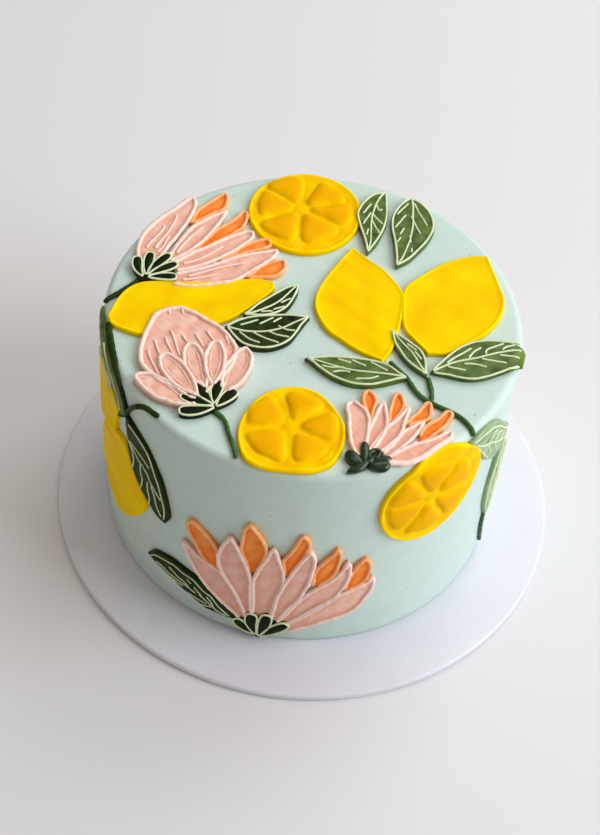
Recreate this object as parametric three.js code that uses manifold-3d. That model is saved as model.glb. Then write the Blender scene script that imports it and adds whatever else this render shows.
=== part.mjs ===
// A round buttercream cake on its thin round cake board. The cake is one solid. Flat frozen
// buttercream shapes lie on its top, over its edge and on its side: lemons, lemon slices,
// proteas, a bud and leaves. Millimetres, +Z up, origin under the middle of the board,
// front of the cake towards -Y.
import * as THREE from "three";
import { mergeVertices } from "three/addons/utils/BufferGeometryUtils.js";
import Module from "manifold-3d";

const wasm = await Module();
wasm.setup();

// Driving dimensions.
const BOARD_RADIUS = 101.5;
const BOARD_THICKNESS = 3;
const BOARD_EDGE = 0.6;
const CAKE_RADIUS = 78.8;
const CAKE_HEIGHT = 100.7;
const CAKE_EDGE = 3;
const CAKE_FOOT = 1.2;
const CAKE_PLACE = [-2.7, 2.5, BOARD_THICKNESS];
const CAKE_SIDES = 56;
const BOARD_SIDES = 48;
const GAP = 0.3;
const FLATNESS = 0.12;

// The edge starts where the flat top ends, and the side starts where the edge ends.
const TOP_REACH = CAKE_RADIUS - CAKE_EDGE;
const SIDE_REACH = TOP_REACH + (CAKE_EDGE * Math.PI) / 2;

// How far a shape that bends over the edge sinks into the icing before it is trimmed to it.
const SUNK = 2;
// How far a trimming tool stands above everything.
const TALL = 9;

const COLOURS = {
  icing: 0xbfd9cc,
  board: 0xeeeef2,
  lemon: 0xffd400,
  slice: 0xfbc400,
  leaf: 0x2f4a1c,
  sepal: 0x1c3014,
  pink: 0xf0bdb4,
  orange: 0xf08a3c,
};

function material(colour, roughness = 0.55) {
  return new THREE.MeshStandardMaterial({
    color: COLOURS[colour],
    roughness,
    metalness: 0,
  });
}

// A point over the icing. Reach is the distance from the cake's axis along the surface: out
// across the top, round the edge and down the side. Turn is the angle from the front.
function onCake(reach, turn, lift) {
  const bend = THREE.MathUtils.clamp((reach - TOP_REACH) / CAKE_EDGE, 0, Math.PI / 2);
  const out = Math.sin(bend);
  const up = Math.cos(bend);
  const radius = Math.min(reach, TOP_REACH) + (CAKE_EDGE + lift) * out;
  const down = Math.max(reach - SIDE_REACH, 0);
  const height = CAKE_HEIGHT - CAKE_EDGE + (CAKE_EDGE + lift) * up - down;
  return new THREE.Vector3(radius * Math.sin(turn), -radius * Math.cos(turn), height);
}

// On the top, x is to the right and y to the back, seen from above.
function topFrame(x, y, lift) {
  return onCake(Math.hypot(x, y), Math.atan2(x, -y), lift);
}

// On the side, x runs round the cake to the right from the front, and y is the height.
function sideFrame(x, y, lift) {
  const reach = SIDE_REACH + CAKE_HEIGHT - CAKE_EDGE - y;
  return onCake(reach, x / CAKE_RADIUS, lift);
}

function toSolid(geometry) {
  const bare = geometry.clone();
  bare.deleteAttribute("normal");
  bare.deleteAttribute("uv");
  const merged = mergeVertices(bare, 1e-4);
  return new wasm.Manifold(
    new wasm.Mesh({
      numProp: 3,
      vertProperties: new Float32Array(merged.attributes.position.array),
      triVerts: new Uint32Array(merged.index.array),
    }),
  );
}

function toGeometry(solid) {
  const made = solid.getMesh();
  const geometry = new THREE.BufferGeometry();
  geometry.setAttribute(
    "position",
    new THREE.BufferAttribute(made.vertProperties, 3),
  );
  geometry.setIndex(new THREE.BufferAttribute(made.triVerts, 1));
  geometry.computeVertexNormals();
  return geometry;
}

function lathe(points, sides) {
  const profile = points.map(([r, z]) => new THREE.Vector2(r, z));
  return new THREE.LatheGeometry(profile, sides).rotateX(Math.PI / 2);
}

// The iced cake's outer shape, grown by some distance. Its foot goes down to the given height.
function cakeShape(grown, foot) {
  const edge = CAKE_EDGE + grown;
  const steps = 4;
  const arc = Array.from({ length: steps + 1 }, (_, i) => {
    const bend = ((steps - i) / steps) * (Math.PI / 2);
    return [TOP_REACH + edge * Math.sin(bend), CAKE_HEIGHT - CAKE_EDGE + edge * Math.cos(bend)];
  });
  const radius = CAKE_RADIUS + grown;
  return lathe(
    [[0, foot], [radius - CAKE_FOOT, foot], [radius, foot + CAKE_FOOT], ...arc, [0, CAKE_HEIGHT + grown]],
    CAKE_SIDES,
  );
}

const iced = toSolid(cakeShape(0, 0));
const cleared = toSolid(cakeShape(GAP, -10));

// Sections across a shape: [place from -1 to 1, height above the icing].
const SECTIONS = {
  leaf: [[-1, 1.7], [-0.86, 2.9], [-0.6, 2.3], [-0.12, 2.3], [0, 2.8], [0.12, 2.3], [0.6, 2.3], [0.86, 2.9], [1, 1.7]],
  petal: [[-1, 1.5], [-0.8, 2.6], [0, 1.9], [0.8, 2.6], [1, 1.5]],
  tip: [[-1, 1.1], [-0.7, 2.2], [0, 1.5], [0.7, 2.2], [1, 1.1]],
  lemon: [[-1, 1], [-0.94, 1.9], [-0.78, 1.6], [-0.3, 2.1], [0.3, 2.1], [0.78, 1.6], [0.94, 1.9], [1, 1]],
  bud: [[-1, 1.4], [-0.92, 2.5], [-0.78, 1.9], [0, 2.1], [0.78, 1.9], [0.92, 2.5], [1, 1.4]],
  sepal: [[-1, 2.2], [-0.55, 3.5], [0.55, 3.5], [1, 2.2]],
  stem: [[-1, 0.7], [-0.5, 1.7], [0.5, 1.7], [1, 0.7]],
};

// Half-width along a blade: a rise from the base and a fall to the tip, one at the widest place.
// A low power makes that end round and a high one makes it pointed.
function swell(t, basePower, tipPower) {
  const widest = basePower / (basePower + tipPower);
  return (t / widest) ** basePower * ((1 - t) / (1 - widest)) ** tipPower;
}

// A blade is a box bent along a spine, such as a leaf, a petal or a whole lemon. Its two
// half-widths are to the left and right of the spine, going from base to tip.
function bladeSolid(frame, blade, foot, grown = 0, tool = false) {
  const { spine, left, right = left, powers, kind, steps, blunt = 0.5, raise = 0 } = blade;
  const section = SECTIONS[kind];
  const curve = new THREE.CatmullRomCurve3(spine.map(([x, y]) => new THREE.Vector3(x, y, 0)));
  const across = section.length - 1;
  const box = new THREE.BoxGeometry(1, 1, 1, steps, across, tool ? 2 : 1);
  const place = box.attributes.position;
  for (let i = 0; i < place.count; i += 1) {
    const row = Math.round((place.getX(i) + 0.5) * steps);
    const column = Math.round((place.getY(i) + 0.5) * across);
    const t = (1 - Math.cos((Math.PI * row) / steps)) / 2;
    const middle = curve.getPoint(t);
    const along = curve.getTangent(t);
    const [side, height] = section[column];
    const end = row === 0 || row === steps;
    const half = Math.max((side > 0 ? left : right) * swell(t, ...powers), blunt) + grown;
    const ahead = row === 0 ? -grown : row === steps ? grown : 0;
    const x = middle.x + along.x * ahead - along.y * side * half;
    const y = middle.y + along.y * ahead + along.x * side * half;
    const rim = section[0][1] + raise;
    const top = tool ? TALL : end ? rim : height + raise;
    const level = Math.sign(Math.round(2 * place.getZ(i)));
    const point = frame(x, y, level > 0 ? top : level < 0 ? foot : rim);
    place.setXYZ(i, point.x, point.y, point.z);
  }
  return toSolid(box);
}

// A slice is a round slab with a raised rim and six raised segments round its middle.
const SLICE_RINGS = [
  // [share of the radius, height, whether the segments lift this ring]
  [1, 1.2, 0],
  [0.95, 2.2, 0],
  [0.84, 1.9, 0],
  [0.74, 1.9, 0.9],
  [0.45, 1.9, 1],
  [0.2, 1.9, 0.6],
];
const SEGMENTS = 6;
const SLICE_SIDES = 24;
const SEGMENT_LIFT = 1.1;

function sliceSolid(frame, slice, foot, grown = 0, tool = false) {
  const { centre, radii, turned } = slice;
  const raised = SLICE_RINGS.map(([share]) => [share, TALL, 0]);
  const rings = tool ? [[1, SLICE_RINGS[0][1], 0], ...raised] : SLICE_RINGS;
  const profile = [[0, foot], [0.5, foot], [1, foot], ...rings, [0, tool ? TALL : 1.9]];
  const shape = lathe(profile, SLICE_SIDES);
  const place = shape.attributes.position;
  for (let i = 0; i < place.count; i += 1) {
    const share = Math.hypot(place.getX(i), place.getY(i));
    const angle = Math.atan2(place.getY(i), place.getX(i));
    const ring = rings.find(([at]) => Math.abs(at - share) < 1e-4);
    let lift = place.getZ(i);
    if (ring && lift > foot) {
      const wave = Math.abs(Math.sin((SEGMENTS / 2) * (angle - turned)));
      lift += ring[2] * SEGMENT_LIFT * Math.min(1, 1.6 * wave);
    }
    const x = centre[0] + share * (radii[0] + grown) * Math.cos(angle);
    const y = centre[1] + share * (radii[1] + grown) * Math.sin(angle);
    const point = frame(x, y, lift);
    place.setXYZ(i, point.x, point.y, point.z);
  }
  return toSolid(shape);
}

function joined(solids) {
  return solids.reduce((all, one) => all.add(one));
}

// The largest body of a solid: a scrap that trimming leaves is dropped.
function largest(solid) {
  return solid.decompose().sort((a, b) => b.volume() - a.volume())[0];
}

const cakeGroup = new THREE.Group();
cakeGroup.position.set(...CAKE_PLACE);
const tools = [];

// Lays one shape. It rests just clear of the icing, or is sunk and trimmed to it where it bends
// over the edge. Shapes are laid from the uppermost down: each is trimmed to all before it.
function lay(name, colour, make, tool) {
  let solid = make(GAP);
  if (solid.intersect(iced).volume() > 1e-6) solid = make(-SUNK).subtract(cleared);
  for (const above of tools) solid = solid.subtract(above);
  const mesh = new THREE.Mesh(toGeometry(largest(solid).simplify(FLATNESS)), material(colour));
  mesh.name = name;
  cakeGroup.add(mesh);
  tools.push(tool);
}

function layBlades(name, colour, frame, blades) {
  lay(
    name,
    colour,
    (foot) => joined(blades.map((one) => bladeSolid(frame, one, foot))),
    joined(blades.map((one) => bladeSolid(frame, one, -SUNK, GAP, true))),
  );
}

function laySlice(name, frame, slice) {
  lay(
    name,
    "slice",
    (foot) => sliceSolid(frame, slice, foot),
    sliceSolid(frame, slice, -SUNK, GAP, true),
  );
}

// Kinds of blade, with the spine's points from base to tip.
const leaf = (spine, left, right) => ({
  spine, left, right, powers: [0.75, 0.75], kind: "leaf", steps: 6, blunt: 0.6,
});
const petal = (spine, left, right, raise = 0) => ({
  spine, left, right, powers: [0.8, 0.6], kind: "petal", steps: 4, blunt: 0.8, raise,
});
const petalTip = (spine, left, right) => ({
  spine, left, right, powers: [0.45, 0.7], kind: "tip", steps: 4, blunt: 0.7,
});
const lemon = (spine, left, right) => ({
  spine, left, right, powers: [0.66, 0.66], kind: "lemon", steps: 9, blunt: 1.2,
});
const sepal = (spine, half) => ({
  spine, left: half, powers: [0.7, 0.3], kind: "sepal", steps: 3, blunt: 0.6,
});
const stem = (spine, half = 1) => ({
  spine, left: half, powers: [0.08, 0.08], kind: "stem", steps: 6, blunt: 0.5,
});

// The front protea, on the side.
layBlades("front_protea_calyx", "sepal", sideFrame, [
  sepal([[-9.5, 3.6], [-11.6, 11], [-11, 18.6]], 2.5),
  sepal([[-9.2, 3.6], [-8, 10], [-5.4, 17.6]], 2.5),
  sepal([[-9, 3.8], [-4.5, 9], [0.6, 14.6]], 2.8),
  sepal([[-9.5, 4], [-13, 8], [-18, 11.6]], 1.7),
]);
layBlades("front_protea_petals", "pink", sideFrame, [
  petal([[-13, 12], [-26, 27], [-40.5, 45.5]], 3.6, 5.4),
  petal([[-12.5, 14], [-19, 36], [-22, 60.5]], 6.6, 6.2, 0.1),
  petal([[-8.5, 14], [-6.8, 36], [-6, 60.5]], 6.2, 6.2),
  petal([[-5, 13], [3.4, 34], [8, 60]], 6, 5.8, 0.1),
  petal([[-2, 13], [12, 30], [21.5, 53]], 5.6, 6.2),
  petal([[0, 11], [18, 23.5], [31.5, 39]], 6, 6.6, 0.1),
]);
layBlades("front_protea_tip_1", "orange", sideFrame, [petalTip([[-26, 37], [-31.5, 49], [-37.5, 61]], 4.6, 4.6)]);
layBlades("front_protea_tip_2", "orange", sideFrame, [petalTip([[-12.4, 41], [-13.2, 56], [-15, 71.8]], 4.8, 4.8)]);
layBlades("front_protea_tip_3", "orange", sideFrame, [petalTip([[-1, 42], [2, 55], [4.2, 69.2]], 4, 4)]);
layBlades("front_protea_tip_4", "orange", sideFrame, [petalTip([[8.6, 36], [13.6, 48], [17.2, 61.4]], 4.6, 4.6)]);
layBlades("front_protea_tip_5", "orange", sideFrame, [petalTip([[21, 33.5], [26, 43], [27.6, 54]], 4, 4)]);
layBlades("front_protea_leaf", "leaf", sideFrame, [
  leaf([[-17, 12.4], [-33, 19.4], [-45, 24.4], [-58.5, 21]], 6, 5.8),
]);

// The right front slice, over the edge, and the sprig beside it.
laySlice("edge_slice", sideFrame, { centre: [53, 79.6], radii: [22.8, 23], turned: 0.35 });
layBlades("edge_sprig_upper_leaf", "leaf", sideFrame, [leaf([[65, 100.5], [79, 91], [95.6, 81.6]], 10, 11)]);
layBlades("edge_sprig_lower_leaf", "leaf", sideFrame, [leaf([[91, 33], [95, 55], [96.4, 80]], 8, 8.4)]);
layBlades("edge_sprig_stem", "leaf", sideFrame, [
  stem([[96.4, 9], [93, 11.4], [91.4, 20], [91, 34]], 1),
]);

// The left side's sprig: two leaves over two lemons, at the edge.
layBlades("left_sprig_stem", "sepal", sideFrame, [
  stem([[-77, 82.5], [-72.5, 89], [-66, 97.5], [-57, 104.5]], 1.1),
  stem([[-72.5, 89], [-78, 100], [-92, 107.5]], 1.3),
]);
layBlades("left_sprig_lower_leaf", "leaf", sideFrame, [leaf([[-72, 87.5], [-62, 73], [-49.5, 49.5]], 8, 7.6)]);
layBlades("left_sprig_upper_leaf", "leaf", sideFrame, [leaf([[-75, 90.5], [-89, 96], [-112, 100.5]], 6.8, 6.4)]);
layBlades("left_lower_lemon", "lemon", sideFrame, [lemon([[-82, 25.5], [-80.5, 48], [-91, 76]], 21.5, 19)]);
layBlades("left_upper_lemon", "lemon", sideFrame, [lemon([[-79, 86], [-95, 80], [-124, 62]], 14, 16)]);

// The protea at the back left of the top.
layBlades("back_protea_calyx", "sepal", topFrame, [
  sepal([[-65.5, 8.5], [-68.6, 13], [-70, 18.4]], 1.9),
  sepal([[-65.2, 9], [-64.6, 15], [-64, 20.6]], 2),
  sepal([[-65, 9], [-61.6, 15], [-57.6, 20.2]], 2),
  sepal([[-65, 8.8], [-60, 12.6], [-54.6, 16]], 2.1),
  sepal([[-65, 8.4], [-59, 9], [-53.4, 9]], 2.3),
]);
layBlades("back_protea_stem", "sepal", topFrame, [stem([[-65, 8.4], [-70, 4.2], [-78.4, -3.6]], 1.3)]);
layBlades("back_protea_petals", "pink", topFrame, [
  petal([[-65.5, 13], [-60.6, 36], [-52.6, 55]], 6, 6.4),
  petal([[-61, 15], [-50.5, 34], [-38.8, 49.8]], 5.6, 5.4, 0.1),
  petal([[-58.5, 14], [-43.5, 27], [-27.8, 38.6]], 5.2, 5.4),
  petal([[-57.5, 9], [-38.5, 16.5], [-17, 29.8]], 6.6, 6.8, 0.1),
]);
layBlades("back_protea_tip_1", "orange", topFrame, [petalTip([[-52.5, 41], [-45, 51], [-39.6, 60]], 4, 4)]);
layBlades("back_protea_tip_2", "orange", topFrame, [petalTip([[-47, 28], [-36.6, 39], [-31, 50]], 4, 4)]);
layBlades("back_protea_tip_3", "orange", topFrame, [petalTip([[-36, 24.5], [-27.5, 29.6], [-20.4, 35.2]], 3.2, 3.2)]);
layBlades("back_protea_tip_4", "orange", topFrame, [petalTip([[-28, 14], [-20.4, 18.6], [-13, 24.8]], 3.8, 4)]);

// The bud in front of it.
layBlades("bud_calyx", "sepal", topFrame, [
  sepal([[-32, -52.6], [-37.4, -55.6], [-43.6, -55.6]], 2.5),
  sepal([[-32.6, -52], [-37.6, -50.8], [-43.6, -49.2]], 2.1),
  sepal([[-33, -52], [-35.6, -47.6], [-38.4, -42.8]], 2.3),
  sepal([[-33, -52], [-32.8, -46.6], [-32, -40.6]], 2.5),
  sepal([[-32.6, -52.6], [-29.6, -49], [-26, -44.6]], 2.2),
]);
layBlades("bud_stem", "leaf", topFrame, [stem([[-32, -54], [-27.6, -57.4], [-24.8, -65], [-21.4, -74.4]])]);
layBlades("bud_petals", "pink", topFrame, [
  petal([[-38, -50.5], [-50.5, -47.4], [-61.8, -41.4]], 4.6, 4.6),
  petal([[-37, -47], [-46.4, -38.6], [-53.2, -30.2]], 4.4, 4.4, 0.1),
  petal([[-36, -44], [-40.4, -33.6], [-43.8, -23]], 4.2, 4.2),
  petal([[-33, -43], [-33.8, -32], [-34.2, -21.2]], 4, 4, 0.1),
  petal([[-29.4, -45], [-26, -33.4], [-23.4, -21.8]], 5, 4.6),
]);
layBlades("leaf_by_bud_right", "leaf", topFrame, [leaf([[-32.5, -12.8], [-18, -11.8], [-1.6, -4]], 5.2, 10)]);
layBlades("leaf_by_bud_left", "leaf", topFrame, [leaf([[-26, -7.2], [-17, 1], [-7.8, 12.4]], 5.2, 5.6)]);
layBlades("bud_body", "pink", topFrame, [
  {
    spine: [[-38, -48], [-44.8, -26], [-49.6, -5]],
    left: 17, right: 16.4, powers: [0.42, 0.34], kind: "bud", steps: 9, blunt: 3,
  },
]);

// The small protea at the front of the top.
layBlades("small_protea_calyx", "sepal", topFrame, [
  sepal([[23, -71.4], [19.6, -70], [16.6, -67.4]], 2),
  sepal([[22.4, -71.4], [21.8, -67.4], [21.8, -63.2]], 1.7),
  sepal([[22.8, -71.4], [24.8, -68], [27.2, -65]], 2.2),
  sepal([[22.8, -71.6], [26.8, -70.6], [30.6, -69]], 2.6),
  sepal([[23, -71], [20.4, -73.8], [17.6, -75.8]], 1.4),
]);
laySlice("front_slice", topFrame, { centre: [-3.9, -58.7], radii: [19.2, 20], turned: 0.1 });
layBlades("small_protea_petals", "pink", topFrame, [
  petal([[21, -69], [18.6, -57], [16.4, -44]], 3.6, 3.8),
  petal([[22.4, -68], [25.6, -55.5], [27.2, -43]], 3.8, 3.8, 0.1),
  petal([[23.6, -68], [31.8, -55.5], [36.4, -44.6]], 3.8, 3.8),
  petal([[25, -68.6], [36.4, -58], [44.2, -48]], 3.8, 4, 0.1),
  petal([[26.6, -70], [42, -63], [52.2, -54]], 4.2, 4.4),
]);
layBlades("small_protea_tip_1", "orange", topFrame, [petalTip([[23.4, -51], [22.8, -44.4], [22, -37.8]], 2.5, 2.5)]);
layBlades("small_protea_tip_2", "orange", topFrame, [petalTip([[30.6, -51], [32.4, -44], [32.7, -37.4]], 2.5, 2.5)]);
layBlades("small_protea_tip_3", "orange", topFrame, [petalTip([[36.4, -52.6], [40.8, -46.4], [44, -40.6]], 2.6, 2.6)]);
layBlades("small_protea_tip_4", "orange", topFrame, [petalTip([[40.6, -60], [47, -51.6], [52, -44]], 3, 3)]);

// The lemon pair with its leaves.
layBlades("pair_middle_leaf", "leaf", topFrame, [leaf([[43, -28], [37.4, -17.6], [29.8, -5.8]], 4.8, 6)]);
layBlades("pair_right_leaf", "leaf", topFrame, [leaf([[44, -26], [60, -16.8], [74, -13], [87, -11]], 10, 9.6)]);
layBlades("pair_left_leaf", "leaf", topFrame, [leaf([[37.4, -29.8], [19, -27.8], [-0.6, -24.8]], 9.4, 5)]);
layBlades("pair_stem", "leaf", topFrame, [
  stem([[36.4, -29], [41, -36.4], [47, -40.4], [55, -44], [61, -51]]),
  stem([[43.4, -27], [44.8, -33], [45, -39]]),
  stem([[28, -20.6], [32.4, -24.6], [37, -30]], 1.4),
]);
layBlades("pair_right_lemon", "lemon", topFrame, [lemon([[42.6, -16.4], [52.4, 9], [64.4, 40.4]], 19, 18)]);
layBlades("pair_left_lemon", "lemon", topFrame, [lemon([[27.4, -22], [18, 8], [11.4, 37.4]], 17.6, 17)]);

// The back of the top.
layBlades("back_left_leaf", "leaf", topFrame, [leaf([[25.6, 70], [18.8, 58], [18, 34.4]], 6.2, 6.2)]);
layBlades("back_right_leaf", "leaf", topFrame, [leaf([[33.6, 68.4], [33, 52], [29.2, 27.8]], 10, 6.8)]);
laySlice("back_slice", topFrame, { centre: [-7.4, 53.8], radii: [22.2, 23.4], turned: 0.18 });
layBlades("left_lemon", "lemon", topFrame, [lemon([[-76, -12], [-48, -5], [-15.6, 13.6]], 18, 17)]);

// The back of the side, which the picture does not show, is finished in the same way.
layBlades("rear_protea_calyx", "sepal", sideFrame, [
  sepal([[240, 6], [236, 12], [235, 19.6]], 2.5),
  sepal([[240, 6], [241, 13], [241.4, 20.4]], 2.5),
  sepal([[240, 6], [244.4, 11.6], [247.6, 18]], 2.5),
]);
layBlades("rear_protea_petals", "pink", sideFrame, [
  petal([[237, 13], [224, 27], [210, 43]], 5, 5.4),
  petal([[238, 14], [229.6, 35], [224, 58]], 6.2, 6, 0.1),
  petal([[240.6, 14], [240.6, 36], [239.4, 62]], 6.2, 6.2),
  petal([[243, 14], [251, 35], [255.6, 58]], 6, 6.2, 0.1),
  petal([[245, 13], [258, 27], [271, 42]], 5.4, 5),
]);
layBlades("rear_protea_tip_1", "orange", sideFrame, [petalTip([[223.6, 36], [216.6, 47], [211, 59]], 4.6, 4.6)]);
layBlades("rear_protea_tip_2", "orange", sideFrame, [petalTip([[233, 43], [232, 56], [231.4, 70]], 4.6, 4.6)]);
layBlades("rear_protea_tip_3", "orange", sideFrame, [petalTip([[247.6, 43], [248.6, 56], [248.6, 70]], 4.6, 4.6)]);
layBlades("rear_upper_leaf", "leaf", sideFrame, [leaf([[177, 81], [187, 75], [203, 73]], 7.4, 7)]);
layBlades("rear_lower_leaf", "leaf", sideFrame, [leaf([[175, 83.6], [163, 85.6], [149, 80.4]], 6.6, 6.6)]);
layBlades("rear_stem", "leaf", sideFrame, [stem([[174, 79], [176, 83], [181, 90], [191, 95]])]);
layBlades("rear_lemon", "lemon", sideFrame, [lemon([[173, 79], [167, 55], [156, 26]], 18, 17)]);
laySlice("rear_slice", sideFrame, { centre: [-172, 62], radii: [22, 22], turned: 0.3 });

const cake = new THREE.Mesh(toGeometry(iced), material("icing"));
cake.name = "iced_cake";
cakeGroup.add(cake);

const board = new THREE.Mesh(
  lathe(
    [
      [0, 0],
      [BOARD_RADIUS - BOARD_EDGE, 0],
      [BOARD_RADIUS, BOARD_EDGE],
      [BOARD_RADIUS, BOARD_THICKNESS - BOARD_EDGE],
      [BOARD_RADIUS - BOARD_EDGE, BOARD_THICKNESS],
      [0, BOARD_THICKNESS],
    ],
    BOARD_SIDES,
  ),
  material("board", 0.4),
);
board.name = "cake_board";

const model = new THREE.Group();
model.add(board, cakeGroup);

export default model;
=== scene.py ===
"""A round mint buttercream cake on a thin white board, with piped and painted relief on it.

Every flat shape is drawn in millimetres on one of the cake's two faces, seen straight on. It is
given its relief there, as a height over the icing, and is then wrapped onto the cake. On the top,
x is to the right and y to the back from the cake's axis. On the side, x runs round the cake to
the right from its front and y is the height over the board."""
import logging
from dataclasses import dataclass
from enum import Enum

import bmesh
import bpy
import numpy as np
from mathutils import Matrix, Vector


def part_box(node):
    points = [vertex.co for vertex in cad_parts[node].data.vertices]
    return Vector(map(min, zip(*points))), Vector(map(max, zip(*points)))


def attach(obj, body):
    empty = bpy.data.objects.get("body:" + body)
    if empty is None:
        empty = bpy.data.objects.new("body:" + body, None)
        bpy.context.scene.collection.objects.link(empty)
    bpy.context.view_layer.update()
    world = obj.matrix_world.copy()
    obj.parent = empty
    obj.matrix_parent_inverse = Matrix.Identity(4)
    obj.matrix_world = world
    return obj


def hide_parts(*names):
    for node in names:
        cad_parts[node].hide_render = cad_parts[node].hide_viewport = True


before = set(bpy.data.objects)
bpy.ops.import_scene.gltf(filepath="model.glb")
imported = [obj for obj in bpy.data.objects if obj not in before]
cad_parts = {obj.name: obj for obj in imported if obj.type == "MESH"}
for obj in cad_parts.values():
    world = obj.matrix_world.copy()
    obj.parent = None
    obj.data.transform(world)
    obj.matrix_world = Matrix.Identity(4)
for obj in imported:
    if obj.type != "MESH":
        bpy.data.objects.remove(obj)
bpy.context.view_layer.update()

MM = 0.001
WELD = 2e-6
POINT_SPACING = 0.7
SUNK = -0.6
# The depths of a slab's first rings, in millimetres: close together where its shoulder bends.
RING_DEPTHS = np.array([0, 0.1, 0.25, 0.45, 0.75, 1.1, 1.5, 2.0, 2.6])
# Where the rings of a piped line's rounded end lie, as shares of that end's length.
CAP_STEPS = np.array([0, 0.04, 0.15, 0.35, 0.65])
# How much of a spine its rings leave out at each end: at most this share of it, and otherwise
# this share of the shape's half-width.
CORE_MARGIN = 0.42
CORE_MARGIN_WIDTH = 0.8
# The sizes of the finishes' patterns, in millimetres. Sugar grain and paper fibre are finer than
# that, and are drawn this coarse so that they show.
MOTTLE_SIZE = 6.25
GRAIN_SIZE = 0.91
SPECK_SPACING = 6.5
CLOUD_SIZE = 20.0
FIBRE_SIZE = 1.11
log = logging.getLogger("cake")


class Face(Enum):
    """The face of the cake that a flat shape is drawn on."""

    TOP = "top"
    SIDE = "side"


@dataclass(frozen=True)
class CakeForm:
    """The iced cake's size and place, in millimetres, as the frame gives them.

    Attributes:
        centre: The cake's axis, as x and y.
        base: The height of its foot.
        radius: The radius of its side.
        height: Its height.
        edge: The radius of the rounding between its top and its side.
    """

    centre: tuple[float, float]
    base: float
    radius: float
    height: float
    edge: float = 3.0

    @classmethod
    def from_frame(cls) -> "CakeForm":
        """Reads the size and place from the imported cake.

        Returns:
            The cake's form.
        """
        low, high = (np.array(corner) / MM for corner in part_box("iced_cake"))
        middle = (low + high) / 2
        return cls((middle[0], middle[1]), low[2], (high[0] - low[0]) / 2, high[2] - low[2])

    @property
    def top_reach(self) -> float:
        """How far from the axis the flat top goes."""
        return self.radius - self.edge

    @property
    def side_reach(self) -> float:
        """How far from the axis the side starts, measured along the surface."""
        return self.top_reach + self.edge * np.pi / 2

    def wrap(self, points: np.ndarray, face: Face, lift: np.ndarray | float) -> np.ndarray:
        """Wraps flat points onto the cake.

        The reach is the distance from the axis along the surface: out over the top, round the
        edge and down the side. The lift is square to the surface there.

        Args:
            points: The flat points, as an array that ends in x and y.
            face: The face they are drawn on.
            lift: Their height over the icing.

        Returns:
            The places in metres, as an array that ends in x, y and z.
        """
        x, y = points[..., 0], points[..., 1]
        if face is Face.TOP:
            reach, turn = np.hypot(x, y), np.arctan2(x, -y)
        else:
            reach, turn = self.side_reach + self.height - self.edge - y, x / self.radius
        bend = np.clip((reach - self.top_reach) / self.edge, 0, np.pi / 2)
        out = np.minimum(reach, self.top_reach) + (self.edge + lift) * np.sin(bend)
        drop = np.maximum(reach - self.side_reach, 0)
        up = self.height - self.edge + (self.edge + lift) * np.cos(bend) - drop
        place = [
            self.centre[0] + out * np.sin(turn),
            self.centre[1] - out * np.cos(turn),
            self.base + up,
        ]
        return np.stack(place, axis=-1) * MM


def resample(path: np.ndarray, lengths: np.ndarray) -> np.ndarray:
    """The points of a path at given shares of its length, on straight lines between its own.

    Args:
        path: The path's points.
        lengths: The shares, from 0 to 1.

    Returns:
        A point for each share.
    """
    steps = np.linalg.norm(np.diff(path, axis=0), axis=1)
    along = np.concatenate([[0], np.cumsum(steps)])
    at = np.asarray(lengths) * along[-1]
    return np.stack([np.interp(at, along, path[:, axis]) for axis in range(2)], axis=-1)


def path_length(path: np.ndarray) -> float:
    """The length of a path of points."""
    return float(np.linalg.norm(np.diff(path, axis=0), axis=1).sum())


def smooth_path(points: tuple, closed: bool = False) -> np.ndarray:
    """A smooth curve through points: a cubic on each stretch, whose slope at a point is half the
    step between its two neighbours.

    Args:
        points: The points that it goes through.
        closed: Whether it comes back to the first one.

    Returns:
        The curve as closely spaced points. The last one is the first one where it is closed.
    """
    marks = np.asarray(points, dtype=float)
    if closed:
        knots = np.vstack([marks[-1], marks, marks[:2]])
    else:
        knots = np.vstack([2 * marks[0] - marks[1], marks, 2 * marks[-1] - marks[-2]])
    t = np.linspace(0, 1, 14, endpoint=False)[:, None, None]
    a, b, c, d = knots[:-3], knots[1:-2], knots[2:-1], knots[3:]
    cubic = 2 * b + (c - a) * t + (2 * a - 5 * b + 4 * c - d) * t**2 + (3 * b - a - 3 * c + d) * t**3
    curve = (cubic / 2).transpose(1, 0, 2).reshape(-1, 2)
    return np.vstack([curve, marks[0] if closed else marks[-1]])


def waves(at: np.ndarray, size: float, seed: int) -> np.ndarray:
    """Smooth unevenness along a line, about -1 to 1: five sines with drawn lengths and phases.

    Args:
        at: The places along the line, in millimetres.
        size: The usual length of a wave.
        seed: The seed of the draw.

    Returns:
        The mean of the sines at each place.
    """
    draw = np.random.default_rng(seed)
    lengths = size * draw.uniform(0.6, 2.2, 5)
    phases = draw.uniform(0, 2 * np.pi, 5)
    return np.sin(2 * np.pi * at[..., None] / lengths + phases).mean(axis=-1) * 1.6


def swells(points: np.ndarray, size: float, seed: int) -> np.ndarray:
    """Smooth unevenness over a plane, about -1 to 1: seven plane waves in drawn directions.

    Args:
        points: The flat points, as an array that ends in x and y.
        size: The usual length of a wave.
        seed: The seed of the draw.

    Returns:
        The mean of the waves at each point.
    """
    draw = np.random.default_rng(seed)
    angles = draw.uniform(0, 2 * np.pi, 7)
    lengths = size * draw.uniform(0.7, 2.4, 7)
    ways = np.stack([np.cos(angles), np.sin(angles)]) / lengths
    phases = draw.uniform(0, 2 * np.pi, 7)
    return np.sin(2 * np.pi * points @ ways + phases).mean(axis=-1) * 1.9


def quarter(share: np.ndarray) -> np.ndarray:
    """A quarter circle's rise: straight up at 0 and level from 1 on."""
    return np.sqrt(1 - (1 - np.clip(share, 0, 1)) ** 2)


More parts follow.
